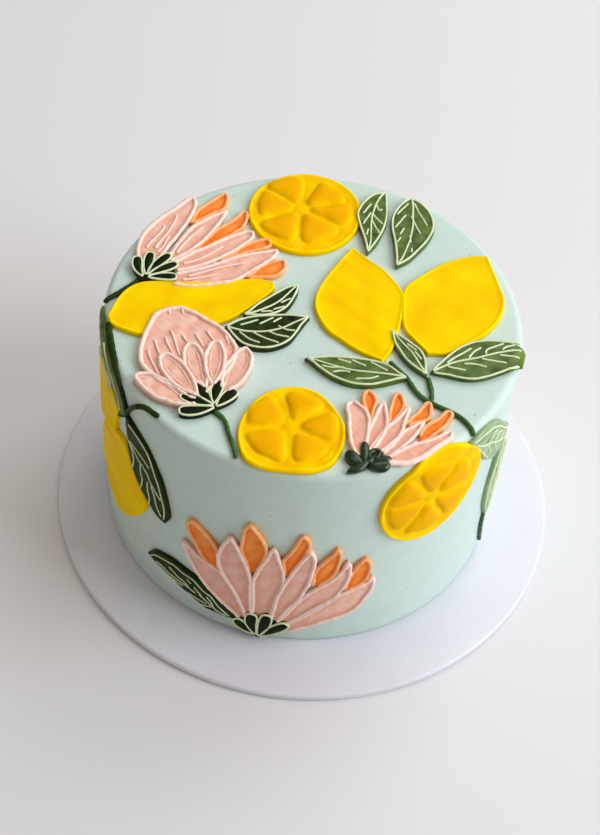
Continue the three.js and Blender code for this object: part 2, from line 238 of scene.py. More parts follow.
def soften(path: np.ndarray, spread: float) -> np.ndarray:
    """Rounds a path's corners: each point becomes the bell-weighted mean of those around it.

    Args:
        path: The path's points, evenly spaced.
        spread: The width of the bell, in millimetres.

    Returns:
        The rounded path, with as many points.
    """
    bell_reach = 2.5 * spread
    step = path_length(path) / (len(path) - 1)
    width = max(1, int(round(bell_reach / step)))
    bell = np.exp(-0.5 * (np.arange(-width, width + 1) * step / spread) ** 2)
    padded = np.vstack([
        2 * path[0] - path[width:0:-1],
        path,
        2 * path[-1] - path[-2:-width - 2:-1],
    ])
    return np.stack([np.convolve(padded[:, k], bell / bell.sum(), "valid") for k in range(2)], -1)


@dataclass(frozen=True)
class Outline:
    """A flat shape's two edges, each from its base to its tip with as many points as the other."""

    one: np.ndarray
    other: np.ndarray

    @property
    def loop(self) -> np.ndarray:
        """Both edges as one line: up the first and down the other."""
        return np.vstack([self.one, self.other[::-1]])

    @property
    def spine(self) -> np.ndarray:
        """The line halfway between the edges."""
        return (self.one + self.other) / 2

    @property
    def half_width(self) -> float:
        """Half of the greatest width."""
        return float(np.linalg.norm(self.one - self.other, axis=1).max() / 2)

    def core(self) -> np.ndarray:
        """The point of the spine that each point of the loop faces, short of the spine's ends.

        Returns:
            A point for each point of the loop.
        """
        spine = self.spine
        count = len(spine)
        margin = min(CORE_MARGIN, CORE_MARGIN_WIDTH * self.half_width / path_length(spine))
        at = np.clip(np.linspace(0, 1, count), margin, 1 - margin) * (count - 1)
        faced = np.stack([np.interp(at, np.arange(count), spine[:, k]) for k in range(2)], -1)
        return np.vstack([faced, faced[::-1]])

    def inset(self, distance: np.ndarray | float) -> np.ndarray:
        """The loop moved in towards the core, but never all the way.

        Args:
            distance: How far in, in millimetres, as one number or one for each point.

        Returns:
            The moved loop.
        """
        loop, core = self.loop, self.core()
        away = core - loop
        span = np.maximum(np.linalg.norm(away, axis=1, keepdims=True), 1e-6)
        return loop + away * np.minimum(distance / span, 0.9)

    def settled(self, face: Face, depth: float = 0.7) -> "Outline":
        """The shape with the edges that show their wall drawn in: the near ones on the top and the
        upper ones on the side. The shapes were measured along their upper rim.

        Args:
            face: The face of the cake that it is drawn on.
            depth: How far in an edge is drawn that faces that way squarely.

        Returns:
            The shape to lay.
        """
        way = -1 if face is Face.TOP else 1
        middle = self.spine
        edges = []
        for edge in (self.one, self.other):
            out = edge - middle
            out /= np.maximum(np.linalg.norm(out, axis=1, keepdims=True), 0.5)
            moved = edge.copy()
            moved[:, 1] -= way * depth * np.clip(way * out[:, 1], 0, 1)
            edges.append(moved)
        return Outline(*edges)

    def at(self, along: np.ndarray, across: np.ndarray) -> np.ndarray:
        """The flat points at places that are given as shares of the shape.

        Args:
            along: From its base, 0, to its tip, 1.
            across: From its second edge, -1, to its first, 1.

        Returns:
            A point for each place.
        """
        where = np.asarray(along) * (len(self.one) - 1)
        index = np.arange(len(self.one))
        ends = [
            np.stack([np.interp(where, index, edge[:, k]) for k in range(2)], -1)
            for edge in (self.one, self.other)
        ]
        share = (np.asarray(across)[..., None] + 1) / 2
        return ends[0] * share + ends[1] * (1 - share)


@dataclass(frozen=True)
class Edges:
    """A shape drawn by points along its two edges, from its base to its tip."""

    one: tuple
    other: tuple

    def outline(self) -> Outline:
        """Both edges as smooth curves with evenly spaced points.

        Returns:
            The outline.
        """
        curves = [smooth_path(points) for points in (self.one, self.other)]
        count = max(8, int(max(map(path_length, curves)) / POINT_SPACING))
        shares = np.linspace(0, 1, count)
        return Outline(*(resample(curve, shares) for curve in curves))


@dataclass(frozen=True)
class Blade:
    """A shape drawn by its spine, from base to tip, and its half-widths on each side.

    The half-width rises as one power of the share along the spine and falls to the tip as
    another, and both are largest where they meet.
    """

    spine: tuple
    left: float
    right: float
    powers: tuple[float, float] = (0.8, 0.6)

    def outline(self) -> Outline:
        """The edges, square to the spine on both sides.

        Returns:
            Edges whose points lie closer together towards the base and the tip.
        """
        slope_step = 0.01
        curve = smooth_path(self.spine)
        count = max(10, int(path_length(curve) / POINT_SPACING))
        shares = (1 - np.cos(np.linspace(0, np.pi, count))) / 2
        middle = resample(curve, shares)
        ahead = resample(curve, np.minimum(shares + slope_step, 1))
        ahead -= resample(curve, np.maximum(shares - slope_step, 0))
        ahead /= np.linalg.norm(ahead, axis=1, keepdims=True)
        square = np.stack([-ahead[:, 1], ahead[:, 0]], -1)
        base, tip = self.powers
        widest = base / (base + tip)
        width = (shares / widest) ** base * ((1 - shares) / (1 - widest)) ** tip
        return Outline(
            middle + square * (self.left * width)[:, None],
            middle - square * (self.right * width)[:, None],
        )


@dataclass(frozen=True)
class Disc:
    """A round shape: a circle whose radius swells and shrinks a little on its way round.

    Attributes:
        centre: Its middle.
        radii: Its half-width and half-height.
        unevenness: Each swell as its number of waves, its share of the radius and its phase.
    """

    centre: tuple[float, float]
    radii: tuple[float, float]
    unevenness: tuple = ()

    def outline(self) -> Outline:
        """The left half and the right half, both from the foot to the head.

        Returns:
            Edges with evenly spaced angles.
        """
        count = int(np.pi * max(self.radii) / POINT_SPACING)
        turn = np.linspace(0, np.pi, count)

        def half(sign: int) -> np.ndarray:
            """One half: -1 for the left one and 1 for the right one.

            Args:
                sign: Which one.

            Returns:
                Its edge.
            """
            angle = -np.pi / 2 + sign * turn
            size = 1 + sum(share * np.cos(k * angle - phase) for k, share, phase in self.unevenness)
            return np.stack([
                self.centre[0] + self.radii[0] * size * np.cos(angle),
                self.centre[1] + self.radii[1] * size * np.sin(angle),
            ], -1)

        return Outline(half(-1), half(1))


def distance_to(loop: np.ndarray, points: np.ndarray) -> np.ndarray:
    """The distance from each point to the nearest stretch of a closed loop.

    Args:
        loop: The loop's points.
        points: The points to measure from, as an array that ends in x and y.

    Returns:
        A distance for each point.
    """
    start, step = loop, np.roll(loop, -1, axis=0) - loop
    flat = points.reshape(-1, 1, 2)
    length = np.maximum((step**2).sum(-1), 1e-12)
    share = np.clip(((flat - start) * step).sum(-1) / length, 0, 1)
    gap = np.linalg.norm(flat - start - step * share[..., None], axis=-1)
    return gap.min(axis=1).reshape(points.shape[:-1])


class Moulding:
    """Collects closed grids of points, and makes them one mesh object."""

    def __init__(self, form: CakeForm, face: Face) -> None:
        """Starts with nothing on the given face of the cake.

        Args:
            form: The cake.
            face: The face that flat points lie on.
        """
        self.form, self.face = form, face
        self.places: list[np.ndarray] = []
        self.quads: list[np.ndarray] = []
        self.slots: list[np.ndarray] = []
        self.tones: list[np.ndarray] = []
        self.count = 0

    def add(self, places: np.ndarray, tone: np.ndarray | float, slot: int = 0) -> None:
        """Adds a grid whose columns go right round.

        Args:
            places: Rows by columns by x, y and z, in metres.
            tone: How light the finish is there, from 0 to 1.
            slot: Which of the object's finishes it takes.
        """
        rows, columns = places.shape[:2]
        row, column = np.meshgrid(np.arange(rows - 1), np.arange(columns), indexing="ij")
        ahead = (column + 1) % columns
        quads = np.stack([
            row * columns + column, row * columns + ahead,
            (row + 1) * columns + ahead, (row + 1) * columns + column,
        ], -1).reshape(-1, 4)
        self.places.append(places.reshape(-1, 3))
        self.quads.append(quads + self.count)
        self.slots.append(np.full(len(quads), slot))
        self.tones.append(np.broadcast_to(tone, (rows, columns)).reshape(-1).astype(float))
        self.count += rows * columns

    def slab(self, outline: Outline, relief: "Relief", slot: int = 0, raised: float = 0.0,
             fade: float = 0.0) -> None:
        """Adds a slab: rings that go in from the outline to the spine, above and below.

        Args:
            outline: The flat shape.
            relief: Its height and tone over the icing.
            slot: Which of the object's finishes it takes.
            raised: How much higher than usual it is laid.
            fade: How much deeper its tone is at the base than at the tip.
        """
        loop, core = outline.loop, outline.core()
        span = np.maximum(np.linalg.norm(core - loop, axis=1), 1e-6)
        shares = [np.minimum(distance / span, 1) for distance in RING_DEPTHS]
        inner = span.max() - RING_DEPTHS[-1]
        if inner > 0:
            steps = np.linspace(0, 1, 2 + int(inner / relief.spacing))[1:]
            shares += [shares[len(RING_DEPTHS) - 1] * (1 - step) + step for step in steps]
        rings = np.stack([loop + (core - loop) * share[:, None] for share in shares])
        depth = distance_to(loop, rings)
        lift, tone = relief.shape(rings, depth)
        along = np.linspace(-0.6, 0.4, len(outline.one))
        tone = np.clip(tone + fade * np.concatenate([along, along[::-1]]), 0, 1)
        under = np.stack([core, loop])
        places = np.concatenate([
            self.form.wrap(under, self.face, SUNK),
            self.form.wrap(rings, self.face, lift + raised),
        ])
        self.add(places, np.concatenate([tone[:1], tone[:1], tone]), slot)

    def rope(self, path: np.ndarray, piping: "Piping", slot: int = 0, raised: float = 0.0,
             seed: int = 0) -> None:
        """Adds a piped line: an oval carried along a path, with rounded ends.

        Args:
            path: The flat path.
            piping: The line's size.
            slot: Which of the object's finishes it takes.
            raised: How much higher than usual it is laid.
            seed: The seed of its unevenness.
        """
        length = path_length(path)
        cap = min(piping.half_width, 0.4 * length)
        ends = cap * CAP_STEPS
        middle = np.linspace(cap, length - cap, max(2, int(length / piping.spacing)))
        at = np.concatenate([ends, middle, length - ends[::-1]])
        spine = resample(path, at / length)
        ahead = np.gradient(resample(path, np.clip(at / length, 0, 1)), axis=0)
        ahead /= np.maximum(np.linalg.norm(ahead, axis=1, keepdims=True), 1e-9)
        square = np.stack([-ahead[:, 1], ahead[:, 0]], -1)
        full = quarter(np.minimum(at, length - at) / cap)
        full = full * (1 + piping.unevenness * waves(at, piping.wave, seed))
        full = full * (1 - piping.taper * at / length)
        angle = np.linspace(0, 2 * np.pi, piping.sides, endpoint=False)
        across = piping.half_width * full[:, None] * np.cos(angle)
        lift = piping.lift + raised + piping.half_height * full[:, None] * np.sin(angle)
        sway = piping.sway * waves(at, 3 * piping.wave, seed + 1)
        flat = spine[:, None] + square[:, None] * (across + sway[:, None])[..., None]
        # Painted light and shade: the tone is lighter along the line's top and deeper along its underside,
        # with a random wave along it.
        tone = 0.5 + 0.25 * np.sin(angle) + 0.2 * waves(at, 2 * piping.wave, seed + 2)[:, None]
        self.add(self.form.wrap(flat, self.face, lift), np.clip(tone, 0, 1), slot)

    def finish(self, name: str, finishes: list["Finish"]) -> bpy.types.Object:
        """Makes the object: welds the closed ends, turns the faces out and shades it smooth.

        Args:
            name: The object's name.
            finishes: The finish of each slot.

        Returns:
            The object, at the origin.
        """
        mesh = bpy.data.meshes.new(name)
        mesh.from_pydata(np.vstack(self.places).tolist(), [], np.vstack(self.quads).tolist())
        tone = mesh.attributes.new("tone", "FLOAT", "POINT")
        tone.data.foreach_set("value", np.concatenate(self.tones).astype(np.float32))
        mesh.polygons.foreach_set("material_index", np.concatenate(self.slots).astype(np.int32))
        work = bmesh.new()
        work.from_mesh(mesh)
        bmesh.ops.remove_doubles(work, verts=work.verts, dist=WELD)
        bmesh.ops.dissolve_degenerate(work, edges=work.edges, dist=WELD)
        bmesh.ops.recalc_face_normals(work, faces=work.faces)
        work.to_mesh(mesh)
        work.free()
        mesh.shade_smooth()
        for finish in finishes:
            mesh.materials.append(finish.material())
        piece = bpy.data.objects.new(name, mesh)
        bpy.context.scene.collection.objects.link(piece)
        return piece


@dataclass(frozen=True)
class Piping:
    """The size of a piped line, in millimetres.

    Attributes:
        half_width: Half of its width.
        half_height: Half of its height.
        lift: How high its middle is over the icing.
        unevenness: How much it swells and shrinks, as a share.
        wave: The length of a swell.
        sway: How far it strays from its path.
        taper: How much thinner it ends than it starts, as a share.
        sides: The points round it.
        spacing: The step along it.
    """

    half_width: float
    half_height: float
    lift: float
    unevenness: float = 0.07
    wave: float = 4.0
    sway: float = 0.08
    taper: float = 0.0
    sides: int = 10
    spacing: float = 0.6


@dataclass(frozen=True)
class Relief:
    """The height of a slab over the icing: a wall, a rounded shoulder and an uneven top.

    Attributes:
        wall: The height of its upright edge.
        top: The height of its top.
        shoulder: How far in from the edge the shoulder goes.
        ridge: The height of a ridge that follows the edge.
        ridge_at: How far in from the edge the ridge is.
        ridge_width: How wide the ridge is.
        roughness: The height of the top's unevenness.
        swell: The size of that unevenness.
        rim_tone: How much lighter the ridge is than the top.
        spacing: The step of the rings away from the edge.
        seed: The seed of the unevenness.
    """

    wall: float
    top: float
    shoulder: float
    ridge: float = 0.0
    ridge_at: float = 1.0
    ridge_width: float = 0.8
    roughness: float = 0.08
    swell: float = 7.0
    rim_tone: float = 0.25
    spacing: float = 1.1
    seed: int = 1

    def shape(self, points: np.ndarray, depth: np.ndarray) -> tuple[np.ndarray, np.ndarray]:
        """The height and tone of the slab: a quarter circle up from its wall, a bell-shaped ridge
        and swells.

        Args:
            points: The flat points.
            depth: How far in from the edge each of them lies.

        Returns:
            The heights and the tones.
        """
        over = quarter(depth / self.shoulder)
        bell = np.exp(-(((depth - self.ridge_at) / self.ridge_width) ** 2))
        rough = swells(points, self.swell, self.seed) * over
        lift = self.wall + (self.top - self.wall) * over + self.ridge * bell
        # Painted shade: the tone follows the swells' height, darker in their hollows and lighter on their
        # crests.
        tone = 0.5 + 0.3 * rough + self.rim_tone * bell
        return lift + self.roughness * rough, np.clip(tone, 0, 1)


@dataclass(frozen=True)
class Segments(Relief):
    """A lemon slice's height: a peel ridge, and puffed segments round a hub.

    Attributes:
        hub: Where the segments meet.
        inner: How far from the hub they start.
        spokes: Each segment as its angle in degrees, its half-angle and its outer radius.
        puff: How high they stand over the slice.
        roundness: How far in from a segment's edge it is rounded.
        gap: Half of the gap between two segments that share an edge.
        blend: How softly a segment's corners are rounded.
        wobble: How far a segment's edge strays.
        crease: The depth of the crease round a segment.
    """

    hub: tuple[float, float] = (0, 0)
    inner: float = 3.0
    spokes: tuple = ()
    puff: float = 1.25
    roundness: float = 4.0
    gap: float = 0.3
    blend: float = 1.3
    wobble: float = 0.45
    crease: float = 0.18

    def shape(self, points: np.ndarray, depth: np.ndarray) -> tuple[np.ndarray, np.ndarray]:
        """The height and tone: each segment's rise is a quarter circle of its least distance to
        its own sides, with that least distance softened at the corners.

        Args:
            points: The flat points.
            depth: How far in from the edge each of them lies.

        Returns:
            The heights and the tones.
        """
        crease_at, crease_width = -0.5, 0.9
        lift, tone = super().shape(points, depth)
        away = points - np.array(self.hub)
        reach = np.hypot(away[..., 0], away[..., 1])
        angle = np.degrees(np.arctan2(away[..., 1], away[..., 0]))
        for at, half, outer in self.spokes:
            turn = (angle - at + 180) % 360 - 180
            beside = np.radians(half - np.abs(turn)) * reach - self.gap
            sides = [np.clip(side, -9, 40) for side in (beside, outer - reach, reach - self.inner)]
            inside = -self.blend * np.log(sum(np.exp(-side / self.blend) for side in sides))
            inside = inside + self.wobble * swells(points, 7.0, self.seed + 9)
            rise = quarter(inside / self.roundness)
            rise = np.where(inside > 0, rise, 0)
            fold = np.exp(-(((inside - crease_at) / crease_width) ** 2))
            lift = lift + self.puff * rise - self.crease * fold
            tone = tone * (1 - rise)
        return lift, np.clip(tone, 0, 1)


def linear(colour: str) -> tuple[float, float, float, float]:
    """A hex sRGB colour as linear light, by the sRGB standard's curve.

    Args:
        colour: The colour, as a hash and six digits.

    Returns:
        Red, green, blue and an alpha of 1.
    """
    parts = np.array([int(colour[k:k + 2], 16) for k in (1, 3, 5)]) / 255
    light = np.where(parts <= 0.04045, parts / 12.92, ((parts + 0.055) / 1.055) ** 2.4)
    return (*light.tolist(), 1.0)


def add_node(tree: bpy.types.NodeTree, kind: str, links: dict | None = None, **settings) -> bpy.types.Node:
    """Adds a shader node.

    Args:
        tree: The material's node tree.
        kind: The node's type.
        links: Inputs by name or index, as a value or as another node's output.
        settings: The node's own settings.

    Returns:
        The node.
    """
    node = tree.nodes.new(kind)
    for name, value in settings.items():
        setattr(node, name, value)
    for name, value in (links or {}).items():
        if isinstance(value, bpy.types.NodeSocket):
            tree.links.new(value, node.inputs[name])
        else:
            node.inputs[name].default_value = value
    return node


@dataclass(frozen=True)
class Finish:
    """A buttercream finish.

    Attributes:
        name: The material's name.
        light: The colour where the tone is 1.
        deep: The colour where the tone is 0.
        roughness: How satin the surface is.
        glow: How much light goes in under the surface.
        mottle: How much the colour varies.
        smear: The height of the palette knife's smears, in millimetres.
        smear_size: The size of a smear, in millimetres.
        grain: The height of the fine grain, in millimetres.
        coat: How much of a wet gloss lies over it.
        gloss: How strongly the surface itself mirrors light.
        specks: The colour of a few tiny specks in it, if it has any.
    """

    name: str
    light: str
    deep: str
    roughness: float = 0.45
    glow: float = 0.12
    mottle: float = 0.10
    smear: float = 0.10
    smear_size: float = 4.0
    grain: float = 0.02
    coat: float = 0.0
    gloss: float = 0.2
    specks: str | None = None

    def material(self) -> bpy.types.Material:
        """The material, made once and then reused.

        Returns:
            The material, with its colour and its relief read from Object coordinates.
        """
        known = bpy.data.materials.get(self.name)
        if known:
            return known
        made = bpy.data.materials.new(self.name)
        made.use_nodes = True
        tree = made.node_tree
        shader = tree.nodes["Principled BSDF"]
        place = add_node(tree, "ShaderNodeTexCoord").outputs["Object"]
        tree.links.new(self.colour(tree, place), shader.inputs["Base Color"])
        shader.inputs["Roughness"].default_value = self.roughness
        shader.inputs["Specular IOR Level"].default_value = self.gloss
        shader.inputs["Subsurface Weight"].default_value = self.glow
        shader.inputs["Subsurface Radius"].default_value = (1.0, 0.6, 0.35)
        shader.inputs["Subsurface Scale"].default_value = 1.5 * MM
        shader.inputs["Coat Weight"].default_value = self.coat
        shader.inputs["Coat Roughness"].default_value = 0.15
        tree.links.new(self.relief(tree, place), shader.inputs["Normal"])
        return made

    def colour(self, tree: bpy.types.NodeTree, place: bpy.types.NodeSocket) -> bpy.types.NodeSocket:
        """The colour: from deep to light by the piece's tone, with a soft mottle and any specks.

        Args:
            tree: The material's node tree.
            place: The Object coordinates.

        Returns:
            The colour.
        """
        tone = add_node(tree, "ShaderNodeAttribute", attribute_name="tone").outputs["Fac"]
        noise = add_node(tree, "ShaderNodeTexNoise",
                         {"Vector": place, "Scale": 1 / (MOTTLE_SIZE * MM),
                          "Detail": 3.0, "Roughness": 0.55})
        spread = add_node(tree, "ShaderNodeMapRange", {
            "Value": noise.outputs["Fac"], "From Min": 0.3, "From Max": 0.7,
            "To Min": -self.mottle * 2, "To Max": self.mottle * 2,
        })
        total = add_node(tree, "ShaderNodeMath", {0: tone, 1: spread.outputs["Result"]},
                         operation="ADD", use_clamp=True)
        mix = add_node(tree, "ShaderNodeMix", {
            0: total.outputs[0], 6: linear(self.deep), 7: linear(self.light),
        }, data_type="RGBA")
        if self.specks is None:
            return mix.outputs[2]
        cells = add_node(tree, "ShaderNodeTexVoronoi", {"Vector": place, "Scale": 1 / (SPECK_SPACING * MM)})
        speck = add_node(tree, "ShaderNodeMapRange", {
            "Value": cells.outputs["Distance"], "From Min": 0.03, "From Max": 0.06,
            "To Min": 0.85, "To Max": 0.0,
        })
        dotted = add_node(tree, "ShaderNodeMix", {
            0: speck.outputs["Result"], 6: mix.outputs[2], 7: linear(self.specks),
        }, data_type="RGBA")
        return dotted.outputs[2]

    def relief(self, tree: bpy.types.NodeTree, place: bpy.types.NodeSocket) -> bpy.types.NodeSocket:
        """The bump: knife smears with a fine grain on top.

        Args:
            tree: The material's node tree.
            place: The Object coordinates.

        Returns:
            The bent normal.
        """
        smear = add_node(tree, "ShaderNodeTexNoise", {
            "Vector": place, "Scale": 1 / (self.smear_size * MM), "Detail": 2.0, "Distortion": 0.6,
        })
        grain = add_node(tree, "ShaderNodeTexNoise", {
            "Vector": place, "Scale": 1 / (GRAIN_SIZE * MM), "Detail": 2.0,
        })
        first = add_node(tree, "ShaderNodeBump", {
            "Height": smear.outputs["Fac"], "Strength": 1.0, "Distance": self.smear * MM,
        })
        second = add_node(tree, "ShaderNodeBump", {
            "Height": grain.outputs["Fac"], "Strength": 1.0, "Distance": self.grain * MM,
            "Normal": first.outputs["Normal"],
        })
        return second.outputs["Normal"]


# Cold buttercream smoothed with a scraper: a satin skin with long low knife marks, and the
# few dark specks of a natural colouring.
ICING = Finish("smoothed mint buttercream", "#CBE0DA", "#C1D7CF", roughness=0.45, mottle=0.12,
               smear=0.12, smear_size=9.0, grain=0.012, gloss=0.4, specks="#5F7468")
# Buttercream spread with a palette knife: a strong, nearly matt yellow in broad soft strokes.
LEMON = Finish("painted lemon buttercream", "#FFDC00", "#F7C300", mottle=0.09, smear=0.16,
               smear_size=11.0, gloss=0.02)
# The same paste laid thicker: it goes from yellow on the pith to amber on the segments.
SLICE = Finish("painted lemon slice buttercream", "#FFDA00", "#F2B000", mottle=0.05, gloss=0.02)
# Green paste with a soft sheen, so that its strokes catch the window.
# Painted sheen: the same green as the dark leaf, painted lighter.
LEAF = Finish("painted leaf buttercream", "#62802C", "#2E4511", roughness=0.38, mottle=0.14,
              glow=0.04, gloss=0.25)
# The same green painted paler, as painted sheen: a chalky leaf with little contrast.
SHEEN_PAINTED_LEAF = Finish("leaf buttercream with painted sheen", "#A9C198", "#7E9A6C", roughness=0.4, mottle=0.14,
                   glow=0.06, gloss=0.2)
# Green paste with painted shade, nearly black, in its hollows: almost no sheen, which sets off its pale
# lines.
DARK_LEAF = Finish("painted dark leaf buttercream", "#2C4212", "#121C05", roughness=0.4, mottle=0.14,
                   glow=0.03, gloss=0.08)
# Soft buttercream from a fine nozzle: pale, rounded and matt.
VEIN = Finish("piped pale green buttercream", "#E6F0CC", "#C3D6A4", mottle=0.05)
# The darkest green paste: it lets no light in, and only its round shoulders show.
SEPAL = Finish("dark green sepal buttercream", "#1D2B0C", "#0A1204", roughness=0.35, glow=0.0, gloss=0.05)
# The same paste not yet set: small sharp highlights on it look wet.
WET_SEPAL = Finish("wet dark green buttercream", "#22401E", "#0D1C0B", roughness=0.2, glow=0.0, coat=0.35)
# Green buttercream from a round nozzle: a thin line of light runs along its top.
STEM = Finish("piped stem buttercream", "#3A6628", "#1D3F13", roughness=0.3, glow=0.03, gloss=0.25)
# Thin pale paste that light goes into: a soft blush, deeper at a petal's foot.
PINK = Finish("painted pink buttercream", "#F3CABC", "#EAAA92", mottle=0.06)
# Stiff buttercream from a round nozzle: nearly white, and brighter than what it frames.
PINK_LINE = Finish("piped pale pink buttercream", "#FCE0D6", "#F4CABB", mottle=0.05)
# Paste as thin as the pink one: a glowing orange, with painted shade in the hollows of its swells.
ORANGE = Finish("painted orange buttercream", "#FFA650", "#F67A20", mottle=0.10, gloss=0.1)
# The same orange let down with white and piped: a pale rim round each tip.
ORANGE_LINE = Finish("piped pale orange buttercream", "#FFBD88", "#FC9B52", mottle=0.05)


@dataclass(frozen=True)
class Work:
    """A piped or painted piece that stands for one node of the cake.

    Attributes:
        node: The node's name.
        face: The face of the cake that it is drawn on.
    """

    node: str
    face: Face

    material_slot = "icing"

    def mould(self, moulding: Moulding) -> list[Finish]:
        """Adds the piece's grids.

        Args:
            moulding: What they are added to.

        Returns:
            The finish of each slot.
        """
        raise NotImplementedError

    def dress(self, form: CakeForm) -> bpy.types.Object:
        """Makes the piece and puts it in its node's place.

        Args:
            form: The cake that it lies on.

        Returns:
            The piece.
        """
        moulding = Moulding(form, self.face)
        finishes = self.mould(moulding)
        piece = moulding.finish(f"{self.node}_piped", finishes)
        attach(piece, "root")
        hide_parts(self.node)
        log.info("%s: %d faces", piece.name, len(piece.data.polygons))
        return piece


@dataclass(frozen=True)
class Leaf(Work):
    """A thick painted leaf with a piped edge, midrib and veins.

    Attributes:
        shape: Its outline.
        veins: Each vein as the points of its line. None draws them from the leaf's own shape.
        vein_pairs: How many pairs of veins are drawn.
        framed: Whether a line goes right round it and another along its middle.
        fine: The width of its lines, as a share of the usual one.
        top: The height of its top.
        paint: The finish it is painted with.
        seed: The seed of its unevenness.
    """

    shape: Edges | Blade = None
    veins: tuple | None = None
    vein_pairs: int = 5
    framed: bool = True
    fine: float = 1.0
    top: float = 2.2
    paint: Finish = LEAF
    seed: int = 0

    material_slot = "leaf"

    def drawn_veins(self, outline: Outline) -> list[np.ndarray]:
        """Veins in pairs, from beside the midrib out and forward towards the edge.

        Args:
            outline: The leaf's outline.

        Returns:
            The path of each vein.
        """
        draw = np.random.default_rng(90 + self.seed)
        lines = []
        for side in (-1, 1):
            for start in np.linspace(0.14, 0.74, self.vein_pairs):
                start += draw.uniform(-0.03, 0.03)
                run = draw.uniform(0.12, 0.17)
                along = start + run * np.linspace(0, 1, 8)
                across = side * (0.14 + draw.uniform(0.42, 0.56) * np.linspace(0, 1, 8) ** 0.9)
                lines.append(outline.at(along, across))
        return lines

    def mould(self, moulding: Moulding) -> list[Finish]:
        """A slab, a line round its edge, the midrib and the veins.

        Args:
            moulding: What they are added to.

        Returns:
            The finish of each slot.
        """
        outline = self.shape.outline().settled(self.face)
        moulding.slab(outline, Relief(
            wall=0.75 * self.top, top=self.top, shoulder=0.6, roughness=0.1, swell=4.0, rim_tone=0.0,
            seed=self.seed))
        lift = self.top + 0.04
        if self.framed:
            edge = Piping(half_width=0.43 * self.fine, half_height=0.42, lift=lift, sides=8, sway=0.12)
            moulding.rope(soften(outline.inset(0.65), 0.5), edge, 1, seed=self.seed)
            middle = resample(outline.spine, np.linspace(0.02, 0.96, 60))
            rib = Piping(half_width=0.43 * self.fine, half_height=0.42, lift=lift + 0.05, sides=8,
                         taper=0.3)
            moulding.rope(middle, rib, 1, seed=self.seed + 1)
        fine = Piping(half_width=0.36 * self.fine, half_height=0.36, lift=lift, sides=8, wave=2.5,
                      spacing=0.5)
        if self.veins is None:
            lines = self.drawn_veins(outline)
        else:
            lines = [smooth_path(points) for points in self.veins]
        for number, line in enumerate(lines):
            moulding.rope(line, fine, 1, seed=self.seed + 2 + number)
        return [self.paint, VEIN]


@dataclass(frozen=True)
class Lemon(Work):
    """A whole lemon painted flat, with a low ridge where the knife met its edge.

    Attributes:
        shape: Its outline.
        seed: The seed of its unevenness.
    """

    shape: Edges | Blade = None
    seed: int = 0

    material_slot = "lemon"

    def mould(self, moulding: Moulding) -> list[Finish]:
        """One slab.

        Args:
            moulding: What it is added to.

        Returns:
            The finish of its only slot.
        """
        moulding.slab(self.shape.outline().settled(self.face), Relief(
            wall=0.9, top=1.6, shoulder=0.5, ridge=0.3, ridge_at=0.7, ridge_width=0.5,
            roughness=0.18, swell=12.0, rim_tone=0.5, seed=self.seed))
        return [LEMON]


@dataclass(frozen=True)
class Slice(Work):
    """A lemon slice: a disc with a peel ridge and puffed segments.

    Attributes:
        disc: Its outline.
        hub: Where the segments meet.
        spokes: Each segment as its angle in degrees, its half-angle and its outer radius.
        seed: The seed of its unevenness.
    """

    disc: Disc | Edges = None
    hub: tuple[float, float] = (0, 0)
    spokes: tuple = ()
    seed: int = 0

    material_slot = "lemon_slice"

    def mould(self, moulding: Moulding) -> list[Finish]:
        """One slab.

        Args:
            moulding: What it is added to.

        Returns:
            The finish of its only slot.
        """
        moulding.slab(self.disc.outline().settled(self.face), Segments(
            wall=0.9, top=1.6, shoulder=0.5, ridge=0.35, ridge_at=0.8, ridge_width=0.6,
            roughness=0.1, swell=8.0, rim_tone=0.45, spacing=0.55, seed=self.seed,
            hub=self.hub, spokes=self.spokes))
        return [SLICE]


class Colour(Enum):
    """The colour of a petal, as its painted and its piped finish."""

    PINK = "pink"
    ORANGE = "orange"


